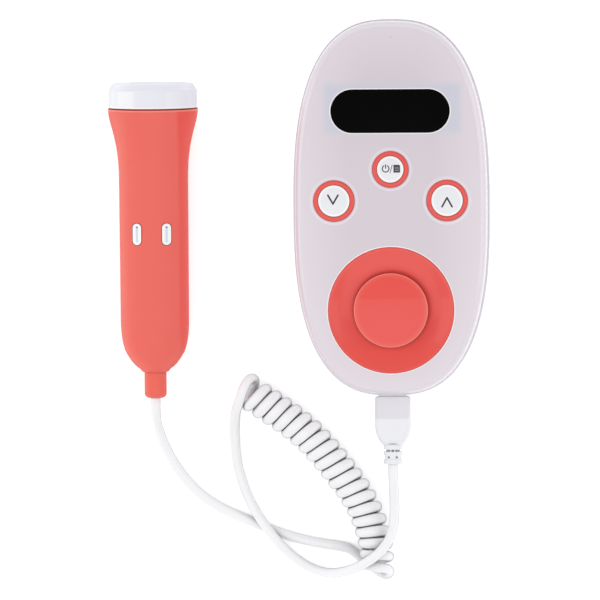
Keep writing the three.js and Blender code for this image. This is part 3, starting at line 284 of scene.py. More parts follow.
class Finish:
    """A procedural material round one Principled shader."""

    def __init__(self, name, **constants):
        self.material = bpy.data.materials.new(name)
        self.material.use_nodes = True
        self.tree = self.material.node_tree
        self.shader = self.tree.nodes["Principled BSDF"]
        for key, value in constants.items():
            self.shader.inputs[key.replace("_", " ")].default_value = value

    def node(self, kind, settings, inputs, output=0):
        made = self.tree.nodes.new(kind)
        for key, value in settings.items():
            setattr(made, key, value)
        for key, value in inputs.items():
            self.feed(made.inputs[key], value)
        return Signal(self, made.outputs[output])

    def feed(self, socket, value):
        if isinstance(value, Signal):
            self.tree.links.new(value.socket, socket)
        else:
            socket.default_value = value

    def set(self, name, value):
        self.feed(self.shader.inputs[name], value)

    def place(self):
        return self.node("ShaderNodeTexCoord", {}, {}, "Object")

    def axes(self):
        split = self.node("ShaderNodeSeparateXYZ", {}, {0: self.place()})
        return [Signal(self, split.socket.node.outputs[axis]) for axis in "XYZ"]

    def noise(self, size, detail=2):
        """Noise whose clouds are about this size."""
        inputs = {"Vector": self.place(), "Scale": 1 / size, "Detail": detail}
        return self.node("ShaderNodeTexNoise", {}, inputs)

    def openness(self, reach):
        """1 in the open and near 0 in a crevice, judged within a reach."""
        return self.node("ShaderNodeAmbientOcclusion", {"samples": 8}, {"Distance": reach}, "AO")

    def upward(self):
        """How far a place faces upwards: 1 on top, 0 on a flank, -1 underneath."""
        split = self.node("ShaderNodeSeparateXYZ", {}, {0: self.node("ShaderNodeTexCoord", {}, {}, "Normal")})
        return Signal(self, split.socket.node.outputs["Z"])

    def mix(self, mask, first, second):
        return self.node("ShaderNodeMix", {"data_type": "RGBA"}, {0: mask, 6: first, 7: second}, 2)

    def bump(self, height, depth):
        """Relief of a height signal from 0 to 1, as deep as the length given."""
        self.set("Normal", self.node("ShaderNodeBump", {}, {"Distance": depth, "Height": height}))


def moulded(name, colour, roughness, grain=0.02, crevice=None, flank=None, reach=2.5, **constants):
    """Moulded plastic: faint clouds in its colour, painted shade in its crevices and on its flanks, and a
    fine grain. The depth of the grain and the reach of the crevices are in millimetres."""
    finish = Finish(name, **constants)
    darker = [value * 0.97 for value in colour[:3]] + [1]
    finish.tone = finish.mix(finish.noise(14 * mm), darker, colour)
    # Painted shade: faces that turn sideways or down are painted towards the flank colour.
    if flank:
        finish.tone = finish.mix((finish.upward() * 1.7 + 0.15).clamped(), flank, finish.tone)
    # Painted shade: crevices, found by ambient occlusion, are painted towards the crevice colour.
    if crevice:
        finish.tone = finish.mix((finish.openness(reach * mm) * 1.2).clamped(), crevice, finish.tone)
    finish.set("Base Color", finish.tone)
    finish.set("Roughness", finish.noise(3 * mm) * 0.1 + (roughness - 0.05))
    finish.bump(finish.noise(0.35 * mm, 3), grain * mm)
    return finish


crease_degrees = 32


def finished(name, made, body, finish, slot, *nodes):
    """Names a form, smooths it between its creases, paints it and lets it stand for CAD nodes."""
    made.name = name
    edited = bmesh.new()
    edited.from_mesh(made.data)
    bmesh.ops.remove_doubles(edited, verts=edited.verts, dist=0.001 * mm)
    bmesh.ops.dissolve_degenerate(edited, edges=edited.edges, dist=0.0005 * mm)
    for face in edited.faces:
        face.smooth = True
    for edge in edited.edges:
        edge.smooth = len(edge.link_faces) == 2 and edge.calc_face_angle() < math.radians(crease_degrees)
    edited.to_mesh(made.data)
    edited.free()
    evened = made.modifiers.new("flat faces stay flat", "WEIGHTED_NORMAL")
    evened.keep_sharp = True
    made.data.materials.clear()
    made.data.materials.append(finish.material)
    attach(made, body)
    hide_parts(*nodes)
    return made


def middle_of(node):
    """Middle of a CAD node's box."""
    low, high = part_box(node)
    return low.lerp(high, 0.5)


# Painted shade: the shell's flanks are painted a darker grey.
shell_white = moulded("shell_white", linear(230, 229, 235), 0.32, flank=linear(204, 203, 211))
bay_floor = 2.3 * mm
bay_ceiling = 17.1 * mm
bay_wall = 1.2 * mm
bay_half_width = 15.05 * mm
bay_start, bay_end = 7.5 * mm, 63.7 * mm
screw_places = [middle_of(f"housing_screw_{i}") for i in range(1, 5)]
boss_radius = 3.2 * mm
boss_top = 17.6 * mm
screw_well_radius = 2.6 * mm
screw_seat = 8 * mm
screw_clearance = 1.4 * mm
door_low, door_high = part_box("battery_door")
recess_wall = 1.3 * mm
recess_margin = 2.1 * mm
recess_top = bay_floor + recess_wall
door_end = half_length + overrun
hook_length = 5 * mm
hook_inset = 1.6 * mm
hook_thickness = 1.2 * mm
hook_foot = 1.4 * mm
hook_outer = door_high.x - hook_inset
hook_starts = [door_low.y + (half_length - door_low.y) * share for share in (0.14, 0.62)]
door_travel = next(joint for joint in frame["joints"] if joint["name"] == "battery_door_slide")["range_m"][1]


def housing_inside(thickness):
    """The space inside a housing wall of a thickness, open upwards."""
    return lofted(back_edge(back_edge_inset, thickness, thickness) + [outline(thickness, housing_height)])


def housing_skin(thickness):
    """The housing's own back, solid to a depth."""
    whole = lofted(back_edge(back_edge_inset, 0, 0) + [outline(0, parting_height)])
    return cut(whole, housing_inside(thickness))


def socket_mouth():
    """The opening for the plug in the end of the housing."""
    low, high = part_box("probe_socket")
    return block((low.x - seat_gap, -half_length - overrun, low.z - seat_gap),
                 (high.x + seat_gap, low.y + 2 * wall, high.z + fit_gap))


def make_back_shell():
    shell = lofted(back_edge(back_edge_inset, 0, 0) + shoulder(0, rim_round, parting_height)
                   + [outline(lip_outer_inset, parting_height),
                      outline(lip_outer_inset, parting_height + lip_height)])
    hollow = lofted(back_edge(back_edge_inset, wall, wall)
                    + [outline(wall, parting_height - 2 * lip_run_in),
                       outline(lip_inner_inset, parting_height - lip_run_in),
                       outline(lip_inner_inset, parting_height + lip_height + overrun)])
    side = door_high.x + seat_gap
    bed_side = side + recess_margin
    recess_lip = door_high.z + seat_gap
    bed_space = block((-bed_side, door_low.y - recess_margin, -overrun),
                      (bed_side, door_end, recess_lip + recess_wall))
    bed = common(housing_skin(recess_top), bed_space)
    outer = bay_half_width + bay_wall
    bay = block((-outer, bay_start - bay_wall, bay_floor),
                (outer, bay_end + bay_wall, bay_ceiling + bay_wall))
    posts = [common(rod(boss_radius, wall / 2, boss_top, upright(place.x, place.y)), housing_inside(0))
             for place in screw_places]
    shell = joined(cut(shell, hollow), bed, bay, *posts)
    recess = cut(block((-side, door_low.y - seat_gap, -overrun), (side, door_end, recess_lip)),
                 housing_inside(bay_floor))
    inner = block((-bay_half_width, bay_start, -overrun), (bay_half_width, bay_end, bay_ceiling))
    wells = []
    for place in screw_places:
        wells.append(turned([(0, -overrun), (screw_well_radius, -overrun), (screw_well_radius, screw_seat),
                             (screw_clearance, screw_seat), (screw_clearance, boss_top + overrun),
                             (0, boss_top + overrun)], upright(place.x, place.y), 48))
    slots = []
    for start in hook_starts:
        end = start + hook_length + door_travel + seat_gap
        for way in (-1, 1):
            inside = hook_outer - hook_thickness - seat_gap
            narrow = (start - seat_gap, seat_gap)
            wide = (end - hook_length - 2 * seat_gap, hook_foot + seat_gap)
            for first, reach in (narrow, wide):
                xs = sorted((way * inside, way * (hook_outer + reach)))
                slots.append(block((xs[0], first, bay_floor - overrun), (xs[1], end, recess_top + overrun)))
    return cut(shell, recess, inner, socket_mouth(), *wells, *slots)


finished("moulded_back_shell", make_back_shell(), "unit", shell_white, "shell_plastic", "back_shell")

# Battery cells, springs and contact plates
# Two AA cells lie head to tail, each between a coil spring and a plate of nickelled spring steel.
# The springs are wound from wire, and the plates slide into slots of the bay's end walls.


def metal(name, colour, roughness, brushed=0.0):
    """Bare metal with a fine grain and fainter and duller clouds."""
    finish = Finish(name, Metallic=1)
    darker = [value * 0.82 for value in colour[:3]] + [1]
    finish.set("Base Color", finish.mix(finish.noise(4 * mm), darker, colour))
    finish.set("Roughness", finish.noise(1.5 * mm, 4) * 0.16 + (roughness - 0.08))
    finish.bump(finish.noise(0.2 * mm, 3), (0.01 + brushed) * mm)
    return finish


def dressed(finish, *nodes):
    """Gives CAD nodes whose shape is right their material."""
    for node in nodes:
        mesh = frame["nodes"][node].data
        mesh.materials.clear()
        mesh.materials.append(finish.material)


contact_steel = metal("contact_steel", linear(200, 202, 206), 0.28)
wire_radius = 0.4 * mm
spring_turns = 5
spring_steps_per_turn = 28
spring_flat_share = 0.1
spring_narrowing_share = 0.12
cell_sleeve_half_length = 19.5 * mm
cell_film = Finish("cell_film", Metallic=0.35, Coat_Weight=0.6, Coat_Roughness=0.12)
cell_y = cell_film.axes()[1]
cell_middle = (bay_start + bay_end) / 2
cell_ends = (abs(cell_y - cell_middle) - cell_sleeve_half_length).edge(4)
cell_film.set("Base Color", cell_film.mix(cell_ends, linear(52, 92, 138), linear(196, 198, 202)))
cell_film.set("Roughness", cell_film.noise(5 * mm) * 0.12 + 0.26)
cell_film.bump(cell_film.noise(0.6 * mm), 0.008 * mm)
dressed(cell_film, "battery_cell_1", "battery_cell_2")
dressed(contact_steel, "spring_plate_1", "spring_plate_2", "contact_plate_1", "contact_plate_2")


def wound_spring(name, node):
    """A coil spring of wire that fills its CAD node's box, flat at both ends."""
    low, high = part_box(node)
    centre = (low + high) / 2
    radius = (high.x - low.x) / 2 - wire_radius
    curve = bpy.data.curves.new(name, "CURVE")
    curve.dimensions = "3D"
    curve.bevel_depth = wire_radius
    curve.bevel_resolution = 4
    curve.use_fill_caps = True
    steps = spring_turns * spring_steps_per_turn
    line = curve.splines.new("POLY")
    line.points.add(steps)
    for i in range(steps + 1):
        angle = 2 * math.pi * spring_turns * i / steps
        share = min(max((i / steps - spring_flat_share) / (1 - 2 * spring_flat_share), 0), 1)
        reach = radius * (1 - spring_narrowing_share * share)
        y = low.y + wire_radius + (high.y - low.y - 2 * wire_radius) * share
        line.points[i].co = (centre.x + reach * math.cos(angle), y, centre.z + reach * math.sin(angle), 1)
    spring = bpy.data.objects.new(name, curve)
    bpy.context.scene.collection.objects.link(spring)
    curve.materials.append(contact_steel.material)
    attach(spring, "unit")
    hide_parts(node)


for number in (1, 2):
    wound_spring(f"wound_battery_spring_{number}", f"battery_spring_{number}")

# Main board and key switches
# A green glass-fibre board with copper tracks under its solder mask, and three black tact switches
# soldered on it, each with a white button.

board_mask = Finish("board_mask", Coat_Weight=0.4, Coat_Roughness=0.2)
track_pitch = 1.9 * mm
lanes = (board_mask.axes()[0] + board_mask.noise(9 * mm) * 5 * mm) / track_pitch
lane_wave = lanes.math("PINGPONG", lanes, 1)
tracks = ((lane_wave - 0.62) * 14).clamped()
board_mask.set("Base Color", board_mask.mix(tracks, linear(24, 84, 52), linear(58, 122, 78)))
board_mask.set("Roughness", board_mask.noise(2 * mm) * 0.15 + 0.35)
board_mask.bump(tracks, 0.03 * mm)
switch_black = moulded("switch_black", linear(34, 34, 37), 0.5, 0.03)
button_white = moulded("button_white", linear(236, 236, 238), 0.42)
dressed(board_mask, "main_board", "probe_board")
dressed(switch_black, "power_switch", "down_switch", "up_switch")
dressed(button_white, "power_switch_button", "down_switch_button", "up_switch_button")

# Probe socket
# A cage folded from nickelled steel sheet under the board, with a black contact insulator in it.

insulator_black = moulded("insulator_black", linear(26, 26, 28), 0.45)
dressed(contact_steel, "probe_socket")
dressed(insulator_black, "socket_insulator")

# Speaker driver and cone
# A zinc-plated basket with its magnet, crimped round a cone of dark film with a domed middle.

driver_zinc = metal("driver_zinc", linear(168, 170, 174), 0.42, 0.01)
cone_film = moulded("cone_film", linear(38, 36, 36), 0.5, 0.05)
dressed(driver_zinc, "speaker_driver")
dressed(cone_film, "speaker_cone")

# Speaker dish and cap
# Two coral mouldings: a dish whose face hollows towards a ring-shaped sound gap, and a low cap
# pegged in the dish's hub, so that the sound comes out round it.

# Painted shade: coral parts are painted this deep red in their crevices, and along the seam under the probe's
# head.
shade_red = linear(150, 24, 22)
coral = moulded("coral", linear(239, 86, 78), 0.3, 0.004, shade_red, Specular_IOR_Level=0.3,
                Coat_Weight=0.3, Coat_Roughness=0.03)
dish_low, dish_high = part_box("speaker_dish")
dish_flange_reach = 1.3 * mm
dish_radius = (dish_high.x - dish_low.x) / 2 - dish_flange_reach
speaker_y = (dish_low.y + dish_high.y) / 2
speaker_axis = upright(0, speaker_y)
fine_sides = 144
cap_low, cap_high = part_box("speaker_cap")
cap_radius = (cap_high.x - cap_low.x) / 2
dish_edge = 0.5 * mm
dish_hollow = 2.2 * mm
dish_face_steps = 20
dish_face_low = housing_height - dish_hollow
dish_thickness = 1.8 * mm
sound_gap = 0.9 * mm
cap_overlap = 1.5 * mm
dish_gap_radius = cap_radius - cap_overlap
collar_bottom = cap_low.z
cover_underside = housing_height - wall
spoke_width = 2.4 * mm
spoke_height = 1.6 * mm
hub_radius = 5 * mm
hub_top = collar_bottom + spoke_height
peg_radius = 2.2 * mm
cap_rim_radius = 0.7 * mm
cap_rim_steps = 10
cap_crown = 0.9 * mm
cap_crown_steps = 12
cap_edge_height = cap_high.z - cap_crown
cap_base = dish_face_low + sound_gap
cap_wall = 1.6 * mm


def make_speaker_dish():
    face_outer = dish_radius - dish_edge
    face = []
    for step in range(1, dish_face_steps + 1):
        share = step / dish_face_steps
        height = dish_high.z + (dish_face_low - dish_high.z) * math.sin(math.pi / 2 * share)
        face.append((face_outer + (dish_gap_radius - face_outer) * share, height))
    collar = dish_gap_radius + dish_thickness
    flange_top = cover_underside - fit_gap
    flange = dish_radius + dish_flange_reach
    bowl = turned([(dish_gap_radius, collar_bottom), (collar, collar_bottom),
                   (collar, flange_top - dish_thickness), (flange, flange_top - dish_thickness),
                   (flange, flange_top), (dish_radius, flange_top), (dish_radius, dish_high.z, dish_edge)]
                  + face, speaker_axis, fine_sides)
    parts = [rod(hub_radius, collar_bottom, hub_top, speaker_axis)]
    reach = dish_gap_radius + dish_thickness / 2
    for turn in (45, 135):
        spoke = block((-reach, -spoke_width / 2, collar_bottom), (reach, spoke_width / 2, hub_top))
        spoke.data.transform(speaker_axis @ Matrix.Rotation(math.radians(turn), 4, "Z"))
        parts.append(spoke)
    bore = rod(peg_radius + fit_gap, collar_bottom - overrun, hub_top + overrun, speaker_axis)
    return cut(joined(bowl, *parts), bore)


def crowned(radius, top, rise, shares):
    """Points of a face that rises towards its middle, at shares of its radius."""
    return [(radius * share, top + rise * (1 - share ** 2)) for share in shares]


def make_speaker_cap():
    top = cap_edge_height
    shares = [1 - step / cap_crown_steps for step in range(1, cap_crown_steps + 1)]
    crown = crowned(cap_radius - cap_rim_radius, top, cap_crown, shares)
    rim = [(cap_radius - lean, top - drop) for lean, drop in quarter_round(cap_rim_radius, cap_rim_steps)]
    inner = cap_radius - cap_wall
    return turned([(0, collar_bottom), (peg_radius, collar_bottom), (peg_radius, hub_top + seat_gap),
                   (hub_radius, hub_top + seat_gap), (hub_radius, top - cap_wall), (inner, top - cap_wall),
                   (inner, cap_base), (cap_radius, cap_base)] + rim + crown, speaker_axis, fine_sides)


# Painted highlight: a bright line and a fainter band fading inwards are painted on the speaker cap's rounded
# rim.
rim_highlight_width, rim_highlight_fade = 0.5 * mm, 2.2 * mm
# The cap's crevices take the painted shade red.
cap_coral = moulded("cap_coral", linear(240, 82, 74), 0.3, 0.004, shade_red, Specular_IOR_Level=0.3,
                    Coat_Weight=0.35, Coat_Roughness=0.02)
cap_x, cap_y, cap_z = cap_coral.axes()
from_rim = cap_radius - distance(cap_x, cap_y - speaker_y)
rim_highlight = (rim_highlight_width - from_rim).edge(6).greater((1 - from_rim / rim_highlight_fade).clamped() * 0.25)
rim_highlight = rim_highlight * (cap_z - (cap_edge_height - cap_rim_radius)).edge(3)
cap_coral.set("Base Color", cap_coral.mix(rim_highlight * 0.8, cap_coral.tone, linear(255, 150, 136)))
finished("coral_speaker_dish", make_speaker_dish(), "unit", coral, "coral_plastic", "speaker_dish")
finished("coral_speaker_cap", make_speaker_cap(), "unit", cap_coral, "coral_plastic", "speaker_cap")

# Display module and lens
# A pale liquid-crystal module in a pocket under the cover, and a lens of black acrylic, milled and
# polished, that is glued flush in the cover over it.

module_glass = Finish("module_glass", Coat_Weight=0.7, Coat_Roughness=0.08)
module_tone = module_glass.mix(module_glass.noise(8 * mm), linear(176, 188, 206), linear(190, 200, 214))
module_glass.set("Base Color", module_tone)
module_glass.set("Roughness", module_glass.noise(2 * mm) * 0.1 + 0.2)
dressed(module_glass, "display_module")

lens_low, lens_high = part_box("display_lens")
lens_size = lens_high - lens_low
lens_middle = (lens_low + lens_high) / 2
lens_round = 0.2 * mm
lens_round_steps = 4


def stadium(length, width, heights, x, y, steps=24):
    """Rings of a long hole or plate with round ends, one for each (height, inset)."""
    rings = []
    for height, inset in heights:
        radius = width / 2 - inset
        reach = length / 2 - width / 2
        ring = []
        for i in range(2 * steps + 2):
            end = 1 if i <= steps else -1
            angle = -math.pi / 2 + math.pi * (i if end > 0 else i - 1) / steps
            centre = x + end * reach
            ring.append(Vector((centre + radius * math.cos(angle), y + radius * math.sin(angle), height)))
        rings.append(ring)
    return rings


def lens_stadium(margin, heights):
    """A form with the lens's outline, larger than it by a margin all round."""
    return lofted(stadium(lens_size.x + 2 * margin, lens_size.y + 2 * margin, heights,
                          lens_middle.x, lens_middle.y))


def stadium_reach(along, across, x, y, length, width):
    """Distance signal from the middle line of a stadium."""
    over = (abs(along - x) - (length - width) / 2).greater(0)
    return distance(over, across - y)


lens_black = Finish("lens_black", Specular_IOR_Level=0.04)
lens_black.set("Base Color", lens_black.mix(lens_black.noise(20 * mm), linear(3, 3, 3), linear(6, 6, 6)))
lens_black.set("Roughness", lens_black.noise(30 * mm) * 0.03 + 0.06)
lens_edge = [(lens_low.z, 0)]
lens_edge += [(lens_high.z - drop, lean) for lean, drop in quarter_round(lens_round, lens_round_steps)]
finished("black_display_lens", lens_stadium(0, lens_edge), "unit", lens_black, "lens", "display_lens")

# Front cover
# A milky translucent moulding with a high polish and a rounded shoulder. It drops over the tongue
# of the back shell, and the lens, the key rings and the speaker dish stand in its openings.

cover_inset = 0.7 * mm
cover_draft = 0.4 * mm
shoulder_radius = 3.6 * mm
window_border = 2.6 * mm
keys = {
    "power": {"ring": 7.55 * mm, "cap": 5.55 * mm},
    "down": {"ring": 8.55 * mm, "cap": 6.55 * mm},
    "up": {"ring": 8.55 * mm, "cap": 6.55 * mm},
}
for name, key in keys.items():
    key["centre"] = middle_of(f"{name}_key")
glue_gap = 0.06 * mm
keyhole_round = 0.2 * mm
bead_width = 1.3 * mm
bead_height = 0.2 * mm
bead_round = 0.15 * mm
bead_flat_share = 0.6
dish_bead_width = 0.6 * mm
lens_line = 0.65 * mm
lens_line_lean = 0.3 * mm
pocket_depth = 2 * mm
pocket_wall = 1 * mm
module_low, module_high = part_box("display_module")
module_middle = (module_low + module_high) / 2
module_half = (module_high - module_low) / 2


def make_front_cover():
    rim = parting_height + seat_gap
    rebate_top = parting_height + lip_height + seat_gap
    rebate = lip_outer_inset - fit_gap
    inner = cover_inset + cover_draft + wall
    low_edge = [outline(cover_inset + rim_round * 0.6, rim), outline(cover_inset, rim + rim_round)]
    cover = lofted(low_edge + shoulder(cover_inset + cover_draft, shoulder_radius, housing_height))
    hollow = lofted([outline(rebate, rim - overrun), outline(rebate, rebate_top), outline(inner, rebate_top),
                     outline(inner, cover_underside - shoulder_radius / 2),
                     outline(inner + shoulder_radius / 2, cover_underside)])
    bore = screw_clearance - fit_gap
    foot, root = boss_top + seat_gap, cover_underside + wall / 4
    posts = [turned([(bore, foot), (boss_radius, foot), (boss_radius, root), (bore, root)],
                    upright(place.x, place.y), 48) for place in screw_places]
    rims = [(key["ring"] + glue_gap, bead_width, key["centre"]) for key in keys.values()]
    rims.append((dish_radius + glue_gap, dish_bead_width, Vector((0, speaker_y, 0))))
    sunk, crest = housing_height - wall / 2, housing_height + bead_height
    beads = []
    for hole, width, centre in rims:
        beads.append(turned([(hole, sunk), (hole + width, sunk), (hole + width, housing_height),
                             (hole + bead_flat_share * width, crest, bead_round), (hole, crest)],
                            upright(centre.x, centre.y), fine_sides))
    pocket_low = cover_underside - pocket_depth
    reach = module_half + Vector((seat_gap, seat_gap, 0))
    well_low, well_high = module_middle - reach, module_middle + reach
    pocket = cut(block((well_low.x - pocket_wall, well_low.y - pocket_wall, pocket_low),
                       (well_high.x + pocket_wall, well_high.y + pocket_wall, root)),
                 block((well_low.x, well_low.y, pocket_low - overrun),
                       (well_high.x, well_high.y, cover_underside)))
    beads.append(lens_stadium(lens_line, [(sunk, 0), (housing_height, 0), (crest, lens_line_lean)]))
    cover = joined(cut(cover, hollow), pocket, *posts, *beads)
    tools = [socket_mouth()]
    under, high = cover_underside - overrun, housing_height + overrun
    for hole, _, centre in rims:
        tools.append(turned([(0, under), (hole, under), (hole, crest, keyhole_round / 2),
                             (hole + overrun, crest + overrun / 8), (hole + overrun, high), (0, high)],
                            upright(centre.x, centre.y), fine_sides))
    tools.append(lens_stadium(0, [(lens_low.z - fit_gap, -fit_gap), (high, -fit_gap)]))
    tools.append(lens_stadium(0, [(under, window_border), (high, window_border)]))
    return cut(cover, *tools)


module_blur = 3 * mm
glow_reach = 0.5 * mm
light_start, light_end = 0.35 * mm, 1.75 * mm
highlight_start, highlight_end, highlight_blur = 2 * mm, 3.9 * mm, 0.9 * mm
middle_shade_blur = 20 * mm
pinhole = (0.4 * mm, 71 * mm)
pinhole_radius = 0.22 * mm
milky_cover = Finish("milky_cover", Coat_Weight=0.25, Coat_Roughness=0.05)
cover_x, cover_y = milky_cover.axes()[:2]
across_share, along_share = abs(cover_x) / half_width, abs(cover_y) / half_length
power_sum = across_share ** outline_power + along_share ** outline_power
level = power_sum ** (1 / outline_power)
slope_x = across_share ** (outline_power - 1) / half_width
slope_y = along_share ** (outline_power - 1) / half_length
slope = distance(slope_x, slope_y) * level ** (1 - outline_power)
inset = (1 - level) / slope
# Painted highlight: a lighter band is painted along the cover's rounded shoulder.
shoulder_highlight = ((inset - highlight_start) / highlight_blur).clamped() * ((highlight_end - inset) / highlight_blur).clamped()
middle = ((inset - highlight_end) / middle_shade_blur).clamped()
shadow_x = ((module_half.x - abs(cover_x - module_middle.x)) / module_blur + 0.5).clamped()
shadow_y = ((module_half.y - abs(cover_y - module_middle.y)) / module_blur + 0.5).clamped()
window_reach = stadium_reach(cover_x, cover_y, lens_middle.x, lens_middle.y, lens_size.x, lens_size.y)
window_highlight = (lens_size.y / 2 + lens_line - window_reach).edge(8)
milk = milky_cover.mix(milky_cover.noise(30 * mm), linear(226, 216, 224), linear(229, 220, 228))
# Painted shade: the face is painted darker towards its middle.
milk = milky_cover.mix(middle, milk, linear(217, 207, 215))
milk = milky_cover.mix(shoulder_highlight * 0.6, milk, linear(240, 232, 240))
milk = milky_cover.mix(shadow_x * shadow_y * 0.7, milk, linear(202, 207, 222))
for key in keys.values():
    key_reach = distance(cover_x - key["centre"].x, cover_y - key["centre"].y) - key["ring"]
    # Painted highlight: a lighter ring is painted on the bead round each key ring.
    lip_highlight = (key_reach - light_start).edge(4) * (light_end - key_reach).edge(2.5)
    milk = milky_cover.mix(lip_highlight * 0.55, milk, linear(240, 234, 243))
    # Painted light: a coral tint is painted round each key ring, as of the ring's colour shining through the
    # cover.
    milk = milky_cover.mix((1 - key_reach / glow_reach).clamped() * 0.6, milk, linear(214, 168, 176))
dish_reach = distance(cover_x, cover_y - speaker_y) - dish_radius
# Painted highlight: a near-white line is painted along the raised beads round the lens and the speaker dish.
edge_highlight = window_highlight.greater((dish_bead_width - dish_reach).edge(8))
milk = milky_cover.mix(edge_highlight, milk, linear(254, 250, 253))
pin = (pinhole_radius - distance(cover_x - pinhole[0], cover_y - pinhole[1])).edge(9)
milky_cover.set("Base Color", milky_cover.mix(pin, milk, linear(96, 90, 96)))
milky_cover.set("Roughness", milky_cover.noise(6 * mm) * 0.06 + 0.16)
milky_cover.bump(milky_cover.noise(1.2 * mm), 0.004 * mm)
finished("milky_front_cover", make_front_cover(), "unit", milky_cover, "cover_plastic", "front_cover")

# Key rings and keys
# Coral rings glued in the cover from below, and white keys that travel in them on a flange and a
# stem. Their signs are printed in dark grey: down, up, and power with a record.

ring_proud = 0.7 * mm
ring_round = 0.5 * mm
ring_bore_round = 0.25 * mm
key_slide_gap = 0.1 * mm
ring_flange_reach = 1.5 * mm
ring_flange_thickness = 1.2 * mm
ring_top = housing_height + ring_proud
ring_flange_top = cover_underside - fit_gap
ring_bottom = ring_flange_top - ring_flange_thickness
cap_edge = 0.35 * mm
key_crown = 0.35 * mm
key_crown_shares = (0.85, 0.7, 0.55, 0.4, 0.25, 0.1, 0)
key_highlight_width = 1.1 * mm
key_flange_reach = 0.9 * mm
key_flange_thickness = 1.2 * mm
key_stem_radius = 1.9 * mm
key_flange_top = ring_bottom - seat_gap
key_flange_bottom = key_flange_top - key_flange_thickness
print_grey = linear(44, 44, 52)
print_edge = 9
arrow_half = 0.42
down_arrow = [(-2.45, 2.4), (-0.35, -1.2), (1.75, 2.4)]
up_arrow = [(-2.1, -2.6), (0, 1.15), (2.1, -2.6)]
power_middle, power_radius, power_half, power_opening = (-1.9, 0.3), 1.38, 0.29, 0.62
power_bar, power_bar_half = [(-1.9, 0.5), (-1.9, 1.9)], 0.28
slash, slash_half = [(-0.05, -1.4), (0.85, 1.9)], 0.2
page_low, page_high = (1.3, -1.4), (4.15, 1.95)
page_fold, page_fold_half = [(3.65, 2.35), (4.55, 1.45)], 0.36
page_line_left, page_line_right = 1.8, 3.65
page_lines = [(0.75, 1), (0.1, 0.35), (-0.6, -0.35)]


def inked(margin):
    """Mask of a printed form, from how far inside it a place lies, in the signals' own unit."""
    return (margin * print_edge).clamped()


def stroke(u, v, start, end, half):
    """Mask of a straight stroke with round ends."""
    run = (end[0] - start[0], end[1] - start[1])
    square = run[0] ** 2 + run[1] ** 2
    along = (((u - start[0]) * run[0] + (v - start[1]) * run[1]) / square).clamped()
    across = u - start[0] - along * run[0]
    rise = v - start[1] - along * run[1]
    return inked(half - distance(across, rise))


def either(first, *others):
    """Mask of the places that lie in any of these masks."""
    for other in others:
        first = first.greater(other)
    return first


def strokes(u, v, points, half):
    """Mask of strokes from point to point."""
    return either(*[stroke(u, v, start, end, half) for start, end in zip(points, points[1:])])


def arc(u, v, centre, radius, half, gap_half):
    """Mask of a ring that is open at its top."""
    across, rise = u - centre[0], v - centre[1]
    ring = inked(half - abs(distance(across, rise) - radius))
    return ring * (1 - inked(gap_half - abs(across)) * inked(rise))


def panel(u, v, low, high):
    """Mask of an upright rectangle."""
    middle = ((low[0] + high[0]) / 2, (low[1] + high[1]) / 2)
    half = ((high[0] - low[0]) / 2, (high[1] - low[1]) / 2)
    return inked(half[0] - abs(u - middle[0])) * inked(half[1] - abs(v - middle[1]))


def key_signs(name, u, v):
    """Mask of the sign that is printed on a key, in millimetres from its centre."""
    if name == "down":
        return strokes(u, v, down_arrow, arrow_half)
    if name == "up":
        return strokes(u, v, up_arrow, arrow_half)
    power = arc(u, v, power_middle, power_radius, power_half, power_opening)
    bar = strokes(u, v, power_bar, power_bar_half)
    page = panel(u, v, page_low, page_high) * (1 - strokes(u, v, page_fold, page_fold_half))
    lines = either(*[panel(u, v, (page_line_left, low), (page_line_right, high)) for low, high in page_lines])
    return either(power, bar, strokes(u, v, slash, slash_half), page * (1 - lines * 0.7))


for name, key in keys.items():
    where = upright(key["centre"].x, key["centre"].y)
    bore = key["cap"] + key_slide_gap
    flange = key["ring"] + ring_flange_reach
    ring = turned([(bore, ring_bottom), (flange, ring_bottom), (flange, ring_flange_top),
                   (key["ring"], ring_flange_top), (key["ring"], ring_top, ring_round),
                   (bore, ring_top, ring_bore_round)], where)
    finished(f"coral_{name}_key_ring", ring, "unit", coral, "coral_plastic", f"{name}_key_ring")
    low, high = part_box(f"{name}_key")
    top = high.z - key_crown
    key_flange = key["cap"] + key_flange_reach
    body = turned([(0, low.z), (key_stem_radius, low.z), (key_stem_radius, key_flange_bottom),
                   (key_flange, key_flange_bottom), (key_flange, key_flange_top),
                   (key["cap"], key_flange_top), (key["cap"], top, cap_edge)]
                  + crowned(key["cap"], top, key_crown, key_crown_shares), where)
    white = moulded(f"{name}_key_white", linear(241, 241, 245), 0.3, 0.003)
    x, y, z = white.axes()
    across, rise = x - key["centre"].x, y - key["centre"].y
    outside = (z - key_flange_top).edge(4)
    # Painted highlight: each key's rounded edge is painted a brighter white.
    rim = (distance(across, rise) - (key["cap"] - key_highlight_width)).edge(2)
    plain = white.mix(rim, white.tone, linear(255, 255, 255))
    sign = key_signs(name, across * (1 / mm), rise * (1 / mm))
    white.set("Base Color", white.mix(sign * outside, plain, print_grey))
    finished(f"printed_{name}_key", body, f"{name}_button", white, "white_plastic", f"{name}_key")

# Housing screws
# Four cross-head screws of nickelled steel, driven from the back into the cover's posts.

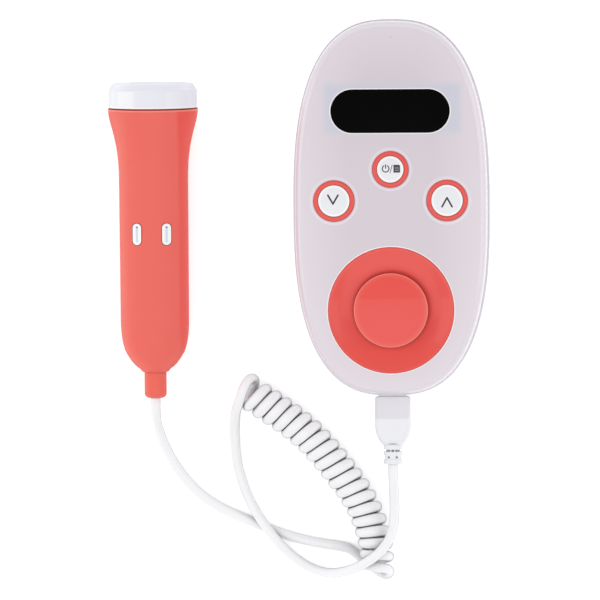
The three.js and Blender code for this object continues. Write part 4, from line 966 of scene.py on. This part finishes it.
screw_low, screw_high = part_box("housing_screw_1")
screw_head_radius = 2.3 * mm
screw_head_height = 1.5 * mm
screw_shank_radius = 1.1 * mm
screw_head_round = 0.4 * mm
screw_head_top = screw_low.z + screw_head_height
slot_half_width = 0.35 * mm
slot_arm = 0.7 * screw_head_radius
screw_slot_depth = 0.9 * mm
for number, place in enumerate(screw_places, 1):
    screw = turned([(0, screw_low.z), (screw_head_radius, screw_low.z, screw_head_round),
                    (screw_head_radius, screw_head_top), (screw_shank_radius, screw_head_top),
                    (screw_shank_radius, screw_high.z - screw_shank_radius), (0, screw_high.z)],
                   upright(place.x, place.y), 48)
    slots = [block((place.x - a, place.y - b, screw_low.z - overrun),
                   (place.x + a, place.y + b, screw_low.z + screw_slot_depth))
             for a, b in ((slot_arm, slot_half_width), (slot_half_width, slot_arm))]
    finished(f"cross_head_screw_{number}", cut(screw, *slots), "unit", contact_steel, "contact_steel",
             f"housing_screw_{number}")

# Battery door
# Cut from the housing's own form, so it continues the rounded end. Four hooks hold it on the bed,
# and five grooves give the thumb a hold when it is slid off.

groove_half_length = 8 * mm
groove_width = 1.2 * mm
groove_depth = 0.7 * mm
groove_taper = 0.15 * mm
groove_pitch = 2.6 * mm
groove_count = 5
groove_start = door_low.y + 6.5 * mm


def make_battery_door():
    reach = block((-door_high.x, door_low.y, -overrun), (door_high.x, door_end, door_high.z))
    door = common(housing_skin(wall), reach)
    foot_low = recess_top + seat_gap
    foot_high = foot_low + hook_thickness
    hooks = []
    for start in hook_starts:
        for way in (-1, 1):
            post = sorted((way * (hook_outer - hook_thickness), way * hook_outer))
            foot = sorted((way * (hook_outer - hook_thickness), way * (hook_outer + hook_foot)))
            hooks.append(block((post[0], start, wall / 2), (post[1], start + hook_length, foot_high)))
            hooks.append(block((foot[0], start, foot_low), (foot[1], start + hook_length, foot_high)))
    grooves = []
    for i in range(groove_count):
        y = groove_start + groove_pitch * i
        depths = [(-overrun, 0), (groove_depth, groove_taper)]
        rings = stadium(2 * groove_half_length, groove_width, depths, 0, y + groove_width / 2, 8)
        grooves.append(lofted(rings))
    return cut(joined(door, *hooks), *grooves)


finished("moulded_battery_door", make_battery_door(), "sliding_door", shell_white, "shell_plastic",
         "battery_door")

# Probe head: crystals, holder and cap
# Two half discs of silvered ceramic, one sending and one receiving, in a black holder. The white
# cap's skirt stands in the handle's mouth, and its flat end is the face that lies on the skin.

probe_x = -99.95 * mm
mouth_y = 42.3 * mm
mouth_radius = 18.95 * mm
belly_y = -48.7 * mm
belly_radius = 14.4 * mm
handle_y = 14.6 * mm
handle_radius = 14.55 * mm
tail_y = -68.65 * mm
tail_radius = 5.5 * mm
probe_wall = 2 * mm
flare_shares = [(0, 1), (0.1, 0.945), (0.22, 0.785), (0.34, 0.577), (0.46, 0.394), (0.6, 0.222),
                (0.77, 0.084), (1, 0)]
tail_shares = [(0, 0), (0.2, 0.032), (0.4, 0.103), (0.56, 0.208), (0.69, 0.37), (0.8, 0.546), (0.88, 0.71),
               (0.94, 0.886), (1, 1)]
probe_pitch = math.atan2(mouth_radius - belly_radius, mouth_y - belly_y)
probe_height = belly_radius * math.cos(probe_pitch) - belly_y * math.sin(probe_pitch)
probe_frame = Matrix.Translation((probe_x, 0, probe_height)) @ Matrix.Rotation(probe_pitch, 4, "X")
probe_axis = probe_frame @ Matrix.Rotation(-math.pi / 2, 4, "X")
head_inset = 0.4 * mm
head_radius = mouth_radius - head_inset
head_skirt_radius = head_radius - 3.2 * mm
head_wall = 1.2 * mm
face_thickness = 1.2 * mm
head_start = mouth_y + fit_gap
face_y = head_start + 10.2 * mm
head_chamfer = 1.8 * mm
head_chamfer_length = 2.6 * mm
skirt_length = 5 * mm
head_round = 0.4 * mm
head_mouth_round = 0.3 * mm
hem_highlight_width = 1.1 * mm
ceramic = Finish("ceramic", Metallic=0.55)
ceramic.set("Base Color", ceramic.mix(ceramic.noise(2 * mm), linear(196, 192, 182), linear(214, 210, 200)))
ceramic.set("Roughness", ceramic.noise(0.8 * mm) * 0.2 + 0.35)
dressed(ceramic, "transmit_crystal", "receive_crystal")
dressed(insulator_black, "crystal_holder", "plug_insulator")
shade_grey = linear(120, 120, 132)
# Painted shade: this grey is painted on faces that turn sideways or down.
flank_shade_grey = linear(190, 191, 200)
probe_white = moulded("probe_white", linear(238, 238, 247), 0.4, 0.001, flank=flank_shade_grey,
                      Coat_Weight=0.15, Coat_Roughness=0.12)
head_x, head_y, head_z = probe_white.axes()


def along_probe(y, z):
    """Place along the probe's own axis."""
    return y * math.cos(probe_pitch) + (z - probe_height) * math.sin(probe_pitch)


head_along = along_probe(head_y, head_z)
# Painted highlight: a whiter band is painted along the head cap's lower edge by the seam.
hem_highlight = (head_start + hem_highlight_width - head_along).edge(1.2)
head_side = (head_x - probe_x) / head_radius
# Painted reflection: pale bands are painted down the head cap's sides, stronger on the left, as of soft boxes
# seen in it.
pale = ((abs(head_side) - 0.33) * 14).clamped() * ((0.78 - abs(head_side)) * 14).clamped()
pale = pale * (0.65 - head_side * 0.6).clamped() * (probe_white.upward() * 2).clamped()
pale = pale * (face_y - head_chamfer_length - head_along).edge(1.5)
head_tone = probe_white.mix(pale * 0.9, probe_white.tone, linear(248, 247, 250))
probe_white.set("Base Color", probe_white.mix(hem_highlight, head_tone, linear(255, 253, 255)))
inner = head_skirt_radius - head_wall
head = turned([(0, face_y - face_thickness), (inner, face_y - face_thickness),
               (inner, head_start - skirt_length),
               (head_skirt_radius, head_start - skirt_length + head_wall), (head_skirt_radius, head_start),
               (head_radius, head_start, head_mouth_round),
               (head_radius, face_y - head_chamfer_length, head_round),
               (head_radius - head_chamfer, face_y, head_round), (0, face_y)], probe_axis, fine_sides)
finished("white_probe_head_cap", head, "probe_and_cord", probe_white, "white_plastic", "probe_head_cap")

# Probe handle
# Two coral half shells that are glued along the sides round the board: a slim grip that flares to
# the head and rounds off to the tail.

# Painted shade: this red is painted on coral faces that turn sideways or down.
flank_shade_red = linear(205, 52, 42)
mouth_highlight_width, seam_shadow_width = 1.3 * mm, 0.5 * mm
handle_coral = moulded("handle_coral", linear(243, 112, 101), 0.5, 0.004, shade_red, flank_shade_red,
                       Specular_IOR_Level=0.12, Coat_Weight=0.06, Coat_Roughness=0.1)
grip_x, grip_y, grip_z = handle_coral.axes()
from_mouth = mouth_y - along_probe(grip_y, grip_z)
grip_side = (grip_x - probe_x) / handle_radius
# Painted reflection: a lighter stripe is painted down the handle's left side, as of the lit table seen in it.
left_reflection = ((-0.66 - grip_side) * 9).clamped() * ((grip_side + 1.1) * 9).clamped()
grip_tone = handle_coral.mix(left_reflection * 0.35, handle_coral.tone, linear(238, 122, 108))
# Painted shade: the handle's right side is painted a deeper coral.
grip_tone = handle_coral.mix(((grip_side - 0.72) * 9).clamped() * 0.7, grip_tone, linear(238, 84, 76))
# Painted highlight on the handle's lip by the mouth, and a painted shadow line in the seam under the head
# cap.
mouth_highlight = handle_coral.mix((mouth_highlight_width - from_mouth).edge(1.8) * 0.8, grip_tone, linear(255, 150, 134))
handle_coral.set("Base Color", handle_coral.mix((seam_shadow_width - from_mouth).edge(6), mouth_highlight, shade_red))


def smoothed(points, steps):
    """Points on a smooth curve through those given, as many in each stretch as steps says."""
    ends = [2 * points[0] - points[1]] + points + [2 * points[-1] - points[-2]]
    made = []
    for i in range(1, len(ends) - 2):
        p0, p1, p2, p3 = ends[i - 1:i + 3]
        t0 = 0
        t1 = t0 + (p1 - p0).length ** 0.5
        t2 = t1 + (p2 - p1).length ** 0.5
        t3 = t2 + (p3 - p2).length ** 0.5
        for step in range(steps):
            t = t1 + (t2 - t1) * step / steps
            a1 = p0.lerp(p1, (t - t0) / (t1 - t0))
            a2 = p1.lerp(p2, (t - t1) / (t2 - t1))
            a3 = p2.lerp(p3, (t - t2) / (t3 - t2))
            b1 = a1.lerp(a2, (t - t0) / (t2 - t0))
            b2 = a2.lerp(a3, (t - t1) / (t3 - t1))
            made.append(b1.lerp(b2, (t - t1) / (t2 - t1)))
    return made + [points[-1]]


def handle_profile(thickness):
    """Points of (radius, place) from the mouth to the tail, for a skin that lies so far inside."""
    flare = [Vector((handle_radius + (mouth_radius - handle_radius) * share,
                     mouth_y + (handle_y - mouth_y) * place)) for place, share in flare_shares]
    end = tail_y + thickness
    tail = [Vector((belly_radius + (tail_radius - belly_radius) * share, belly_y + (end - belly_y) * place))
            for place, share in tail_shares]
    return [(point.x - thickness, point.y) for point in smoothed(flare, 4) + smoothed(tail, 5)]


flange_bore = 5.45 * mm
mouth_bore = head_skirt_radius + fit_gap
mouth_chamfer = 0.3 * mm
sleeve_radius = 4.65 * mm
tail_rounding = 0.4 * mm
split_gap = 0.2 * mm


def make_handle():
    outside = [(mouth_radius - mouth_chamfer, mouth_y), (mouth_radius, mouth_y - mouth_chamfer)]
    outside += handle_profile(0)[1:] + [(tail_radius - tail_rounding, tail_y)]
    bore = sleeve_radius + fit_gap
    inside = [(bore, tail_y), (bore, tail_y + probe_wall)]
    for radius, place in reversed(handle_profile(probe_wall)):
        inside.append((min(max(radius, flange_bore), mouth_bore), place))
    return turned(outside + inside, probe_axis, fine_sides)


insert_x = 6.23 * mm
insert_y = -10 * mm
insert_width = 3.7 * mm
insert_length = 9 * mm
insert_gap = 0.25 * mm


def upright_stadium(length, width, heights, x, y):
    """A stadium along the probe, in the probe's own frame."""
    rings = stadium(length, width, heights, 0, 0, 16)
    turn = probe_frame @ Matrix.Translation((x, y, 0)) @ Matrix.Rotation(math.pi / 2, 4, "Z")
    return lofted([[turn @ point for point in ring] for ring in rings])


def half_space(low, high):
    """A slab across the probe between two heights over its split."""
    reach = mouth_radius + overrun
    slab = block((-reach, tail_y - overrun, low), (reach, mouth_y + overrun, high))
    slab.data.transform(probe_frame)
    return slab


front_half = common(make_handle(), half_space(split_gap / 2, mouth_radius + overrun))
holes = [upright_stadium(insert_length + 2 * insert_gap, insert_width + 2 * insert_gap,
                         [(0, 0), (mouth_radius, 0)], x, insert_y) for x in (-insert_x, insert_x)]
back_half = common(make_handle(), half_space(-mouth_radius - overrun, -split_gap / 2))
finished("coral_handle_front", cut(front_half, *holes), "probe_and_cord", handle_coral, "coral_plastic",
         "probe_front_shell")
finished("coral_handle_back", back_half, "probe_and_cord", handle_coral, "coral_plastic", "probe_back_shell")

# Inserts of the handle
# Two small white plugs pressed into the front half, flush with its round, each with a slot.

insert_proud = 0.25 * mm
insert_depth = 2.9 * mm
slot_width = 1.2 * mm
slot_length = 6.8 * mm
slot_depth = 0.35 * mm
slot_floor_share = 0.42
slot_dot_length = 0.9 * mm
insert_sides = 128
insert_white = moulded("insert_white", linear(255, 255, 255), 0.3, 0.003)
plug_x, plug_y, plug_z = insert_white.axes()
slot_across = abs(abs(plug_x - probe_x) - insert_x)
slot_along = along_probe(plug_y, plug_z) - insert_y
# Painted shade: the slot's floor is painted grey-blue, darkest at its end towards the head.
slot_mask = (slot_width * slot_floor_share - slot_across).edge(6)
slot_mask = slot_mask * (slot_length / 2 - abs(slot_along)).edge(3)
slot_end_shade = (slot_along - (slot_length / 2 - slot_dot_length)).edge(4)
slot_shade = insert_white.mix(slot_end_shade, linear(222, 228, 242), linear(120, 122, 138))
insert_white.set("Base Color", insert_white.mix(slot_mask, insert_white.tone, slot_shade))

for name, x in (("left", -insert_x), ("right", insert_x)):
    start, end = insert_y - insert_length, insert_y + insert_length
    stem = upright_stadium(insert_length, insert_width, [(0, 0), (mouth_radius, 0)], x, insert_y)
    skin = cut(rod(handle_radius + insert_proud, start, end, probe_axis, insert_sides),
               rod(handle_radius - insert_depth, start - overrun, end + overrun, probe_axis, insert_sides))
    plug = common(stem, skin)
    surface = math.sqrt(handle_radius ** 2 - insert_x ** 2)
    depths = [(surface - slot_depth, 0), (mouth_radius, 0)]
    slot = upright_stadium(slot_length, slot_width, depths, x, insert_y)
    finished(f"slotted_insert_{name}", cut(plug, slot), "probe_and_cord", insert_white, "white_plastic",
             f"insert_{name}")

# Tail sleeve
# A coral bend protector whose flange is trapped between the half shells. The lead comes out of it.

sleeve_end = tail_y - 11.1 * mm
sleeve_chamfer = 1.9 * mm
sleeve_flange = 5.3 * mm
cord_radius = 2.05 * mm
cord_bore = cord_radius + 0.05 * mm
bore_depth = 4 * mm
# Painted shade: the sleeve's crevices and flanks are painted deeper red.
sleeve_coral = moulded("sleeve_coral", linear(245, 110, 95), 0.45, 0.006, shade_red, flank_shade_red,
                       Specular_IOR_Level=0.25)
sleeve_neck = sleeve_radius - fit_gap
sleeve_start = tail_y + 5 * mm
seat = tail_y + probe_wall + seat_gap
flange_end = seat + 1.4 * mm
sleeve = turned([(0, sleeve_start), (sleeve_neck, sleeve_start), (sleeve_neck, flange_end),
                 (sleeve_flange, flange_end), (sleeve_flange, seat), (sleeve_neck, seat),
                 (sleeve_radius, tail_y), (sleeve_radius, sleeve_end, sleeve_chamfer),
                 (cord_bore, sleeve_end),
                 (cord_bore, sleeve_end + bore_depth), (0, sleeve_end + bore_depth)], probe_axis)
finished("coral_tail_sleeve", sleeve, "probe_and_cord", sleeve_coral, "coral_rubber", "tail_sleeve")

# Cord
# One white vinyl cord: a lead from the probe, a left-handed curly stretch that climbs over it, and
# a lead to the plug. It is wound on a mandrel and heat-set, and its own weight lays it on the table.

curl_radius = 5.15 * mm
curl_start_degrees = 115
curl_start_twist = math.radians(22)
curl_open_turns = 0.5
curl_end_degrees = -90
curl_end_twist = math.radians(42)
curl_close_turns = 0.4
curl_turns = 19 + (curl_start_degrees - curl_end_degrees) / 360
curl_peel_turns = 1.1
curl_peel_back = 1.6 * mm
curl_peel_growth = 0.9 * mm
curl_points_per_turn = 28
curl_axis_steps = 60
curl_swell = 0.165
curl_head_taper_turns = 2
curl_foot_taper_turns = 4.5
curl_touch_gap = 0.03 * mm
cord_lie = 0.05 * mm
cord_tuck_share = 0.8
curl_axis_points = [
    (-62.0, -77.0, 7.25), (-57.9, -79.7, 7.25), (-50.0, -85.1, 7.25), (-42.1, -90.8, 7.25),
    (-34.7, -97.2, 7.25), (-28.2, -104.3, 7.25), (-22.3, -111.7, 7.25), (-16.8, -119.3, 7.5),
    (-12.2, -127.6, 8.5), (-9.1, -136.0, 10.3), (-7.5, -143.0, 11.7), (-6.9, -149.0, 12),
    (-6.8, -153.6, 12),
]
probe_lead_points = [
    (-99.7, -90.4, 9.9), (-98.2, -95.9, 7.2), (-96.3, -101.1, 5.0), (-93.8, -106.3, 3.4),
    (-90.6, -111.4, 2.4), (-86.6, -116.4, 2.1), (-82.1, -120.8, 2.1), (-77.2, -124.4, 2.1),
    (-72.2, -127.3, 2.1), (-66.9, -129.8, 2.1), (-61.0, -132.3, 2.1), (-54.8, -134.9, 2.1),
    (-48.0, -137.5, 2.1), (-41.4, -139.5, 2.1), (-35.6, -140.9, 2.1), (-29.4, -142.1, 2.1),
    (-23.2, -143.0, 2.1), (-18.9, -144.2, 2.1), (-14.9, -147.3, 2.1),
]
unit_lead_points = [
    (0.2, -116.5, 15.9), (0.5, -122.5, 17.1), (0.6, -128.0, 18.6), (0.1, -133.6, 20.0),
    (-1.4, -138.6, 21.1), (-4.1, -142.7, 21.8), (-7.7, -146.2, 21.8), (-12.1, -149.2, 20.3),
    (-17.0, -151.6, 16.9), (-22.0, -153.3, 12.5), (-26.5, -154.0, 8.7), (-31.0, -153.6, 5.7),
    (-35.3, -152.2, 4.0), (-39.5, -149.8, 3.4), (-43.5, -146.7, 4.0), (-47.2, -143.1, 5.3),
    (-50.4, -139.4, 6.4), (-53.1, -135.9, 6.7), (-55.5, -132.6, 6.4), (-57.9, -129.0, 5.3),
    (-60.2, -125.1, 4.0), (-62.3, -120.9, 2.9), (-64.1, -116.1, 2.3), (-65.6, -111.0, 2.1),
    (-66.6, -105.7, 2.1), (-67.1, -100.1, 2.4), (-67.2, -94.7, 3.5), (-67.0, -90.3, 5.3),
    (-66.5, -86.3, 7.7),
]
curl_axis = smoothed([Vector(point) * mm for point in curl_axis_points], curl_axis_steps)
axis_lengths = [0]
for first, second in zip(curl_axis, curl_axis[1:]):
    axis_lengths.append(axis_lengths[-1] + (second - first).length)


def on_axis(share):
    """Point and heading of the curls' axis at a share of its length."""
    goal = share * axis_lengths[-1]
    i = next((k for k in range(1, len(axis_lengths)) if axis_lengths[k] >= goal), len(axis_lengths) - 1)
    part = (goal - axis_lengths[i - 1]) / (axis_lengths[i] - axis_lengths[i - 1])
    heading = curl_axis[i] - curl_axis[i - 1]
    heading.z = 0
    return curl_axis[i - 1].lerp(curl_axis[i], part), heading.normalized()


def eased(value, start, end):
    """A smooth step from 0 at the start to 1 at the end."""
    share = min(max((value - start) / (end - start), 0), 1)
    return share * share * (3 - 2 * share)


def curl_point(turn):
    """Centre of the cord after so many turns of the helix."""
    centre, ahead = on_axis(turn / curl_turns)
    peel = 1 - eased(turn, 0, curl_peel_turns)
    opening = 1 - eased(turn, 0, curl_open_turns)
    closing = eased(turn, curl_turns - curl_close_turns, curl_turns)
    side = Vector((-ahead.y, ahead.x, 0))
    side.rotate(Matrix.Rotation(curl_start_twist * opening - curl_end_twist * closing, 3, "Z"))
    angle = math.radians(curl_start_degrees) - 2 * math.pi * turn
    reach = curl_radius + curl_peel_growth * peel
    lowest = cord_radius + cord_lie
    drop = reach
    if math.sin(angle) < 0:
        drop = curl_radius + (centre.z - lowest - curl_radius) * closing
    point = centre - ahead * curl_peel_back * peel + side * reach * math.cos(angle)
    point.z = max(point.z + drop * math.sin(angle), lowest)
    return point


curl_steps = round(curl_turns * curl_points_per_turn)
curl_swells = [eased(i, 0, curl_head_taper_turns * curl_points_per_turn)
               * eased(curl_steps - i, 0, curl_foot_taper_turns * curl_points_per_turn)
               for i in range(curl_steps + 1)]
curls = [curl_point(curl_turns * i / curl_steps) + Vector((0, 0, curl_swell * cord_radius * swell))
         for i, swell in enumerate(curl_swells)]


def curl_fullness(i):
    """Thickness of the cord at a point of the curls, as a share. The turns beside it keep their gap."""
    half_turn = curl_points_per_turn // 2
    beside = min((curls[i] - other).length for j, other in enumerate(curls)
                 if half_turn <= abs(i - j) <= 3 * half_turn)
    return min(1 + curl_swell * curl_swells[i], (beside - curl_touch_gap) / (2 * cord_radius))


small_turn = 0.001
curl_head_way = (curls[0] - curl_point(small_turn)).normalized()
curl_foot_way = (curls[-1] - curl_point(curl_turns - small_turn)).normalized()
stub = 2 * cord_radius
lead_end_stub = 1.2 * mm
lead_steps = 10
probe_ahead = -(probe_frame.to_3x3() @ Vector((0, 1, 0)))
sleeve_exit = probe_frame @ Vector((0, sleeve_end, 0))
grip_low, grip_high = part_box("plug_grip")
plug_height = (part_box("plug_shell")[0].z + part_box("plug_shell")[1].z) / 2
plug_exit = Vector((0, grip_low.y, plug_height))


def lead(start, ahead, points, end, end_way):
    """Points of a free lead, straight for a short way at both ends."""
    between = [Vector(point) * mm for point in points]
    begin = start + ahead * seat_gap
    joint = end + end_way * (stub + seat_gap)
    return smoothed([start - ahead * bore_depth * cord_tuck_share, begin, begin + ahead * stub] + between
                    + [joint + end_way * lead_end_stub, joint], lead_steps)


probe_side = lead(sleeve_exit, probe_ahead, probe_lead_points, curls[-1], curl_foot_way)
unit_side = lead(plug_exit, Vector((0, -1, 0)), unit_lead_points, curls[0], curl_head_way)
centreline = probe_side + list(reversed(curls)) + list(reversed(unit_side))
curl_fullnesses = [curl_fullness(i) for i in range(curl_steps, -1, -1)]
fullness = [1] * len(probe_side) + curl_fullnesses + [1] * len(unit_side)
cord_length = sum((b - a).length for a, b in zip(centreline, centreline[1:]))

# Painted shade: the cord is painted near black between its turns and grey on its flanks.
cord_vinyl = moulded("cord_vinyl", linear(252, 252, 254), 0.4, 0.003, linear(40, 40, 46),
                     linear(112, 114, 122), reach=0.7)
cord_curve = bpy.data.curves.new("white_cord", "CURVE")
cord_curve.dimensions = "3D"
cord_curve.bevel_depth = cord_radius
cord_curve.bevel_resolution = 6
cord_curve.use_fill_caps = True
line = cord_curve.splines.new("POLY")
line.points.add(len(centreline) - 1)
for slot, point, share in zip(line.points, centreline, fullness):
    slot.co = (*point, 1)
    slot.radius = share
line.use_smooth = True
cord_curve.materials.append(cord_vinyl.material)
white_cord = bpy.data.objects.new("white_cord", cord_curve)
bpy.context.scene.collection.objects.link(white_cord)
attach(white_cord, "probe_and_cord")
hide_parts("curly_cord", "probe_lead", "unit_lead")

# Plug
# A steel shell and its contact insulator in a white over-moulding, which narrows to a ribbed neck
# that bends with the cord.

grip_width = 15 * mm
grip_thickness = 8.2 * mm
grip_nose = grip_high.y
grip_length = 20.5 * mm
grip_corner = 2.2 * mm
grip_end = grip_nose - grip_length
neck_radius = 3.95 * mm
neck_groove = 2.9 * mm
neck_end = grip_low.y
neck_length = grip_end - neck_end
taper_shares = [0, 0.03, 0.6, 0.72, 0.84, 0.93, 1]
width_shares = [0.93, 1, 1, 0.955, 0.84, 0.7, 0.53]
height_shares = [1, 1, 1, 1, 0.96, 0.82, 0.65]
corner_share = 0.45
neck_shares = [(0, 1), (0.22, 1), (0.22, 0), (0.33, 0), (0.33, 1), (0.47, 1), (0.58, 0.5), (0.7, 0.5),
               (0.76, 0.94), (0.86, 1), (1, 0.86)]
neck_root_share = 0.9
bridge_x, bridge_half, bridge_sink = 0.8 * mm, 0.25 * mm, 0.25 * mm
bridge_start_share, bridge_end_share = 0.2, 0.35
dimple_x, dimple_radius = 1.66 * mm, 0.42 * mm
dimple_place_share, dimple_floor_share = 0.63, 0.75
plug_frame = Matrix.Translation((0, 0, plug_height)) @ Matrix.Rotation(-math.pi / 2, 4, "X")


def rounded_section(width, height, corner, y):
    """A rounded rectangle across the plug."""
    w, h = width / 2, height / 2
    points = rounded([(w, -h, corner), (w, h, corner), (-w, h, corner), (-w, -h, corner)], 6)
    return [Vector((point.x, y, plug_height + point.y)) for point in points]


def make_plug_grip():
    shape = [Vector(shares) for shares in zip(taper_shares, width_shares, height_shares)]
    nose, shoulders = shape[:2], shape[2:]
    sections = []
    for taper, width, height in nose + smoothed(shoulders, 5):
        thickness = grip_thickness * height
        corner = min(grip_corner, thickness * corner_share)
        place = grip_nose - grip_length * taper
        sections.append(rounded_section(grip_width * width, thickness, corner, place))
    depth = neck_radius - neck_groove
    root = grip_end + overrun / 2
    ribs = [(neck_groove + depth * share, grip_end - neck_length * place) for place, share in neck_shares]
    neck = turned([(0, root), (neck_radius * neck_root_share, root)] + ribs
                  + [(cord_bore, neck_end), (cord_bore, neck_end + bore_depth), (0, neck_end + bore_depth)],
                  plug_frame, 64)
    low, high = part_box("plug_shell")
    pocket = block((low.x - fit_gap, low.y - fit_gap, low.z - fit_gap),
                   (high.x + fit_gap, grip_nose + overrun, high.z + fit_gap))
    rise = neck_radius - bridge_sink
    bridges = [block((x - bridge_half, grip_end - bridge_end_share * neck_length, plug_height - rise),
                     (x + bridge_half, grip_end - bridge_start_share * neck_length, plug_height + rise))
               for x in (-bridge_x, bridge_x)]
    floor = neck_groove * dimple_floor_share
    depths = [(plug_height + floor, plug_height + neck_radius),
              (plug_height - neck_radius, plug_height - floor)]
    dimples = [rod(dimple_radius, start, end, upright(x, grip_end - neck_length * dimple_place_share), 24)
               for x in (-dimple_x, dimple_x) for start, end in depths]
    return cut(joined(lofted(sections), neck, *bridges), pocket, *dimples)


nose_shadow_reach = 9.8 * mm
# Painted shade: the grip's crevices and flanks are painted grey, and a painted shadow greys its nose next to
# the housing.
grip_vinyl = moulded("grip_vinyl", linear(243, 244, 248), 0.38, 0.003, shade_grey, flank_shade_grey)
nose = (grip_vinyl.axes()[1] - (grip_nose - nose_shadow_reach)).edge(0.9)
grip_vinyl.set("Base Color", grip_vinyl.mix(nose, grip_vinyl.tone, linear(229, 228, 233)))
plug_grip = finished("white_plug_grip", make_plug_grip(), "probe_and_cord", grip_vinyl, "cord_vinyl",
                     "plug_grip")
dressed(contact_steel, "plug_shell")

# Table, lights and camera
# A white table that gives off some light of its own, under soft boxes. The camera looks down on it
# from nearly straight above through a long lens.

table_half = 1.5
table_corners = [(x * table_half, y * table_half, 0) for x, y in ((-1, -1), (1, -1), (1, 1), (-1, 1))]
table = form(table_corners, [(0, 1, 2, 3)])
table.name = "white_table"
table_white = Finish("table_white", Emission_Color=(1, 1, 1, 1), Emission_Strength=0.48)
table_tone = table_white.mix(table_white.noise(0.3), (0.96, 0.96, 0.96, 1), (0.98, 0.98, 0.98, 1))
table_white.set("Base Color", table_tone)
table_white.set("Roughness", table_white.noise(0.05) * 0.1 + 0.7)
table.data.materials.append(table_white.material)


def soft_box(name, place, aim, size, power):
    lamp = bpy.data.lights.new(name, "AREA")
    lamp.shape = "RECTANGLE"
    lamp.size, lamp.size_y = size
    lamp.energy = power
    made = bpy.data.objects.new(name, lamp)
    bpy.context.scene.collection.objects.link(made)
    made.location = place
    made.rotation_euler = (Vector(aim) - Vector(place)).to_track_quat("-Z", "Y").to_euler()


soft_box("overhead_box", (-0.03, -0.62, 1.3), (-0.03, -0.62, 0), (1.6, 1.3), 6.5)
soft_box("left_box", (-1.1, 0.1, 0.7), (-0.05, 0, 0), (0.7, 1.2), 3)
soft_box("right_box", (1.1, 0.1, 0.7), (-0.05, 0, 0), (0.7, 1.2), 2.6)
soft_box("far_box", (-0.1, 1.1, 0.45), (-0.1, 0, 0), (1.2, 0.6), 1)

world = bpy.data.worlds.new("studio")
world.use_nodes = True
world.node_tree.nodes["Background"].inputs["Color"].default_value = (1, 1, 1, 1)
world.node_tree.nodes["Background"].inputs["Strength"].default_value = 0.56
bpy.context.scene.world = world
bpy.context.scene.view_settings.view_transform = "Standard"

sensor_width = 36
view_width = 252 * mm
view_centre = Vector((-38.8 * mm, -38.73 * mm, 15 * mm))
view_distance = 2.5
lean_x = math.radians(2.9)
lean_y = math.radians(1.4)
roll = math.radians(-0.32)
lens = bpy.data.cameras.new("photo_camera")
lens.sensor_width = sensor_width
lens.lens = sensor_width * view_distance / view_width
camera = bpy.data.objects.new("photo_camera", lens)
bpy.context.scene.collection.objects.link(camera)
back = Vector((math.sin(lean_x), math.sin(lean_y), 1)).normalized()
camera.location = view_centre + back * view_distance
camera.rotation_mode = "QUATERNION"
right = Vector((0, 1, 0)).cross(back).normalized()
up = back.cross(right)
facing = Matrix((right, up, back)).transposed() @ Matrix.Rotation(roll, 3, "Z")
camera.rotation_quaternion = facing.to_quaternion()
bpy.context.scene.camera = camera
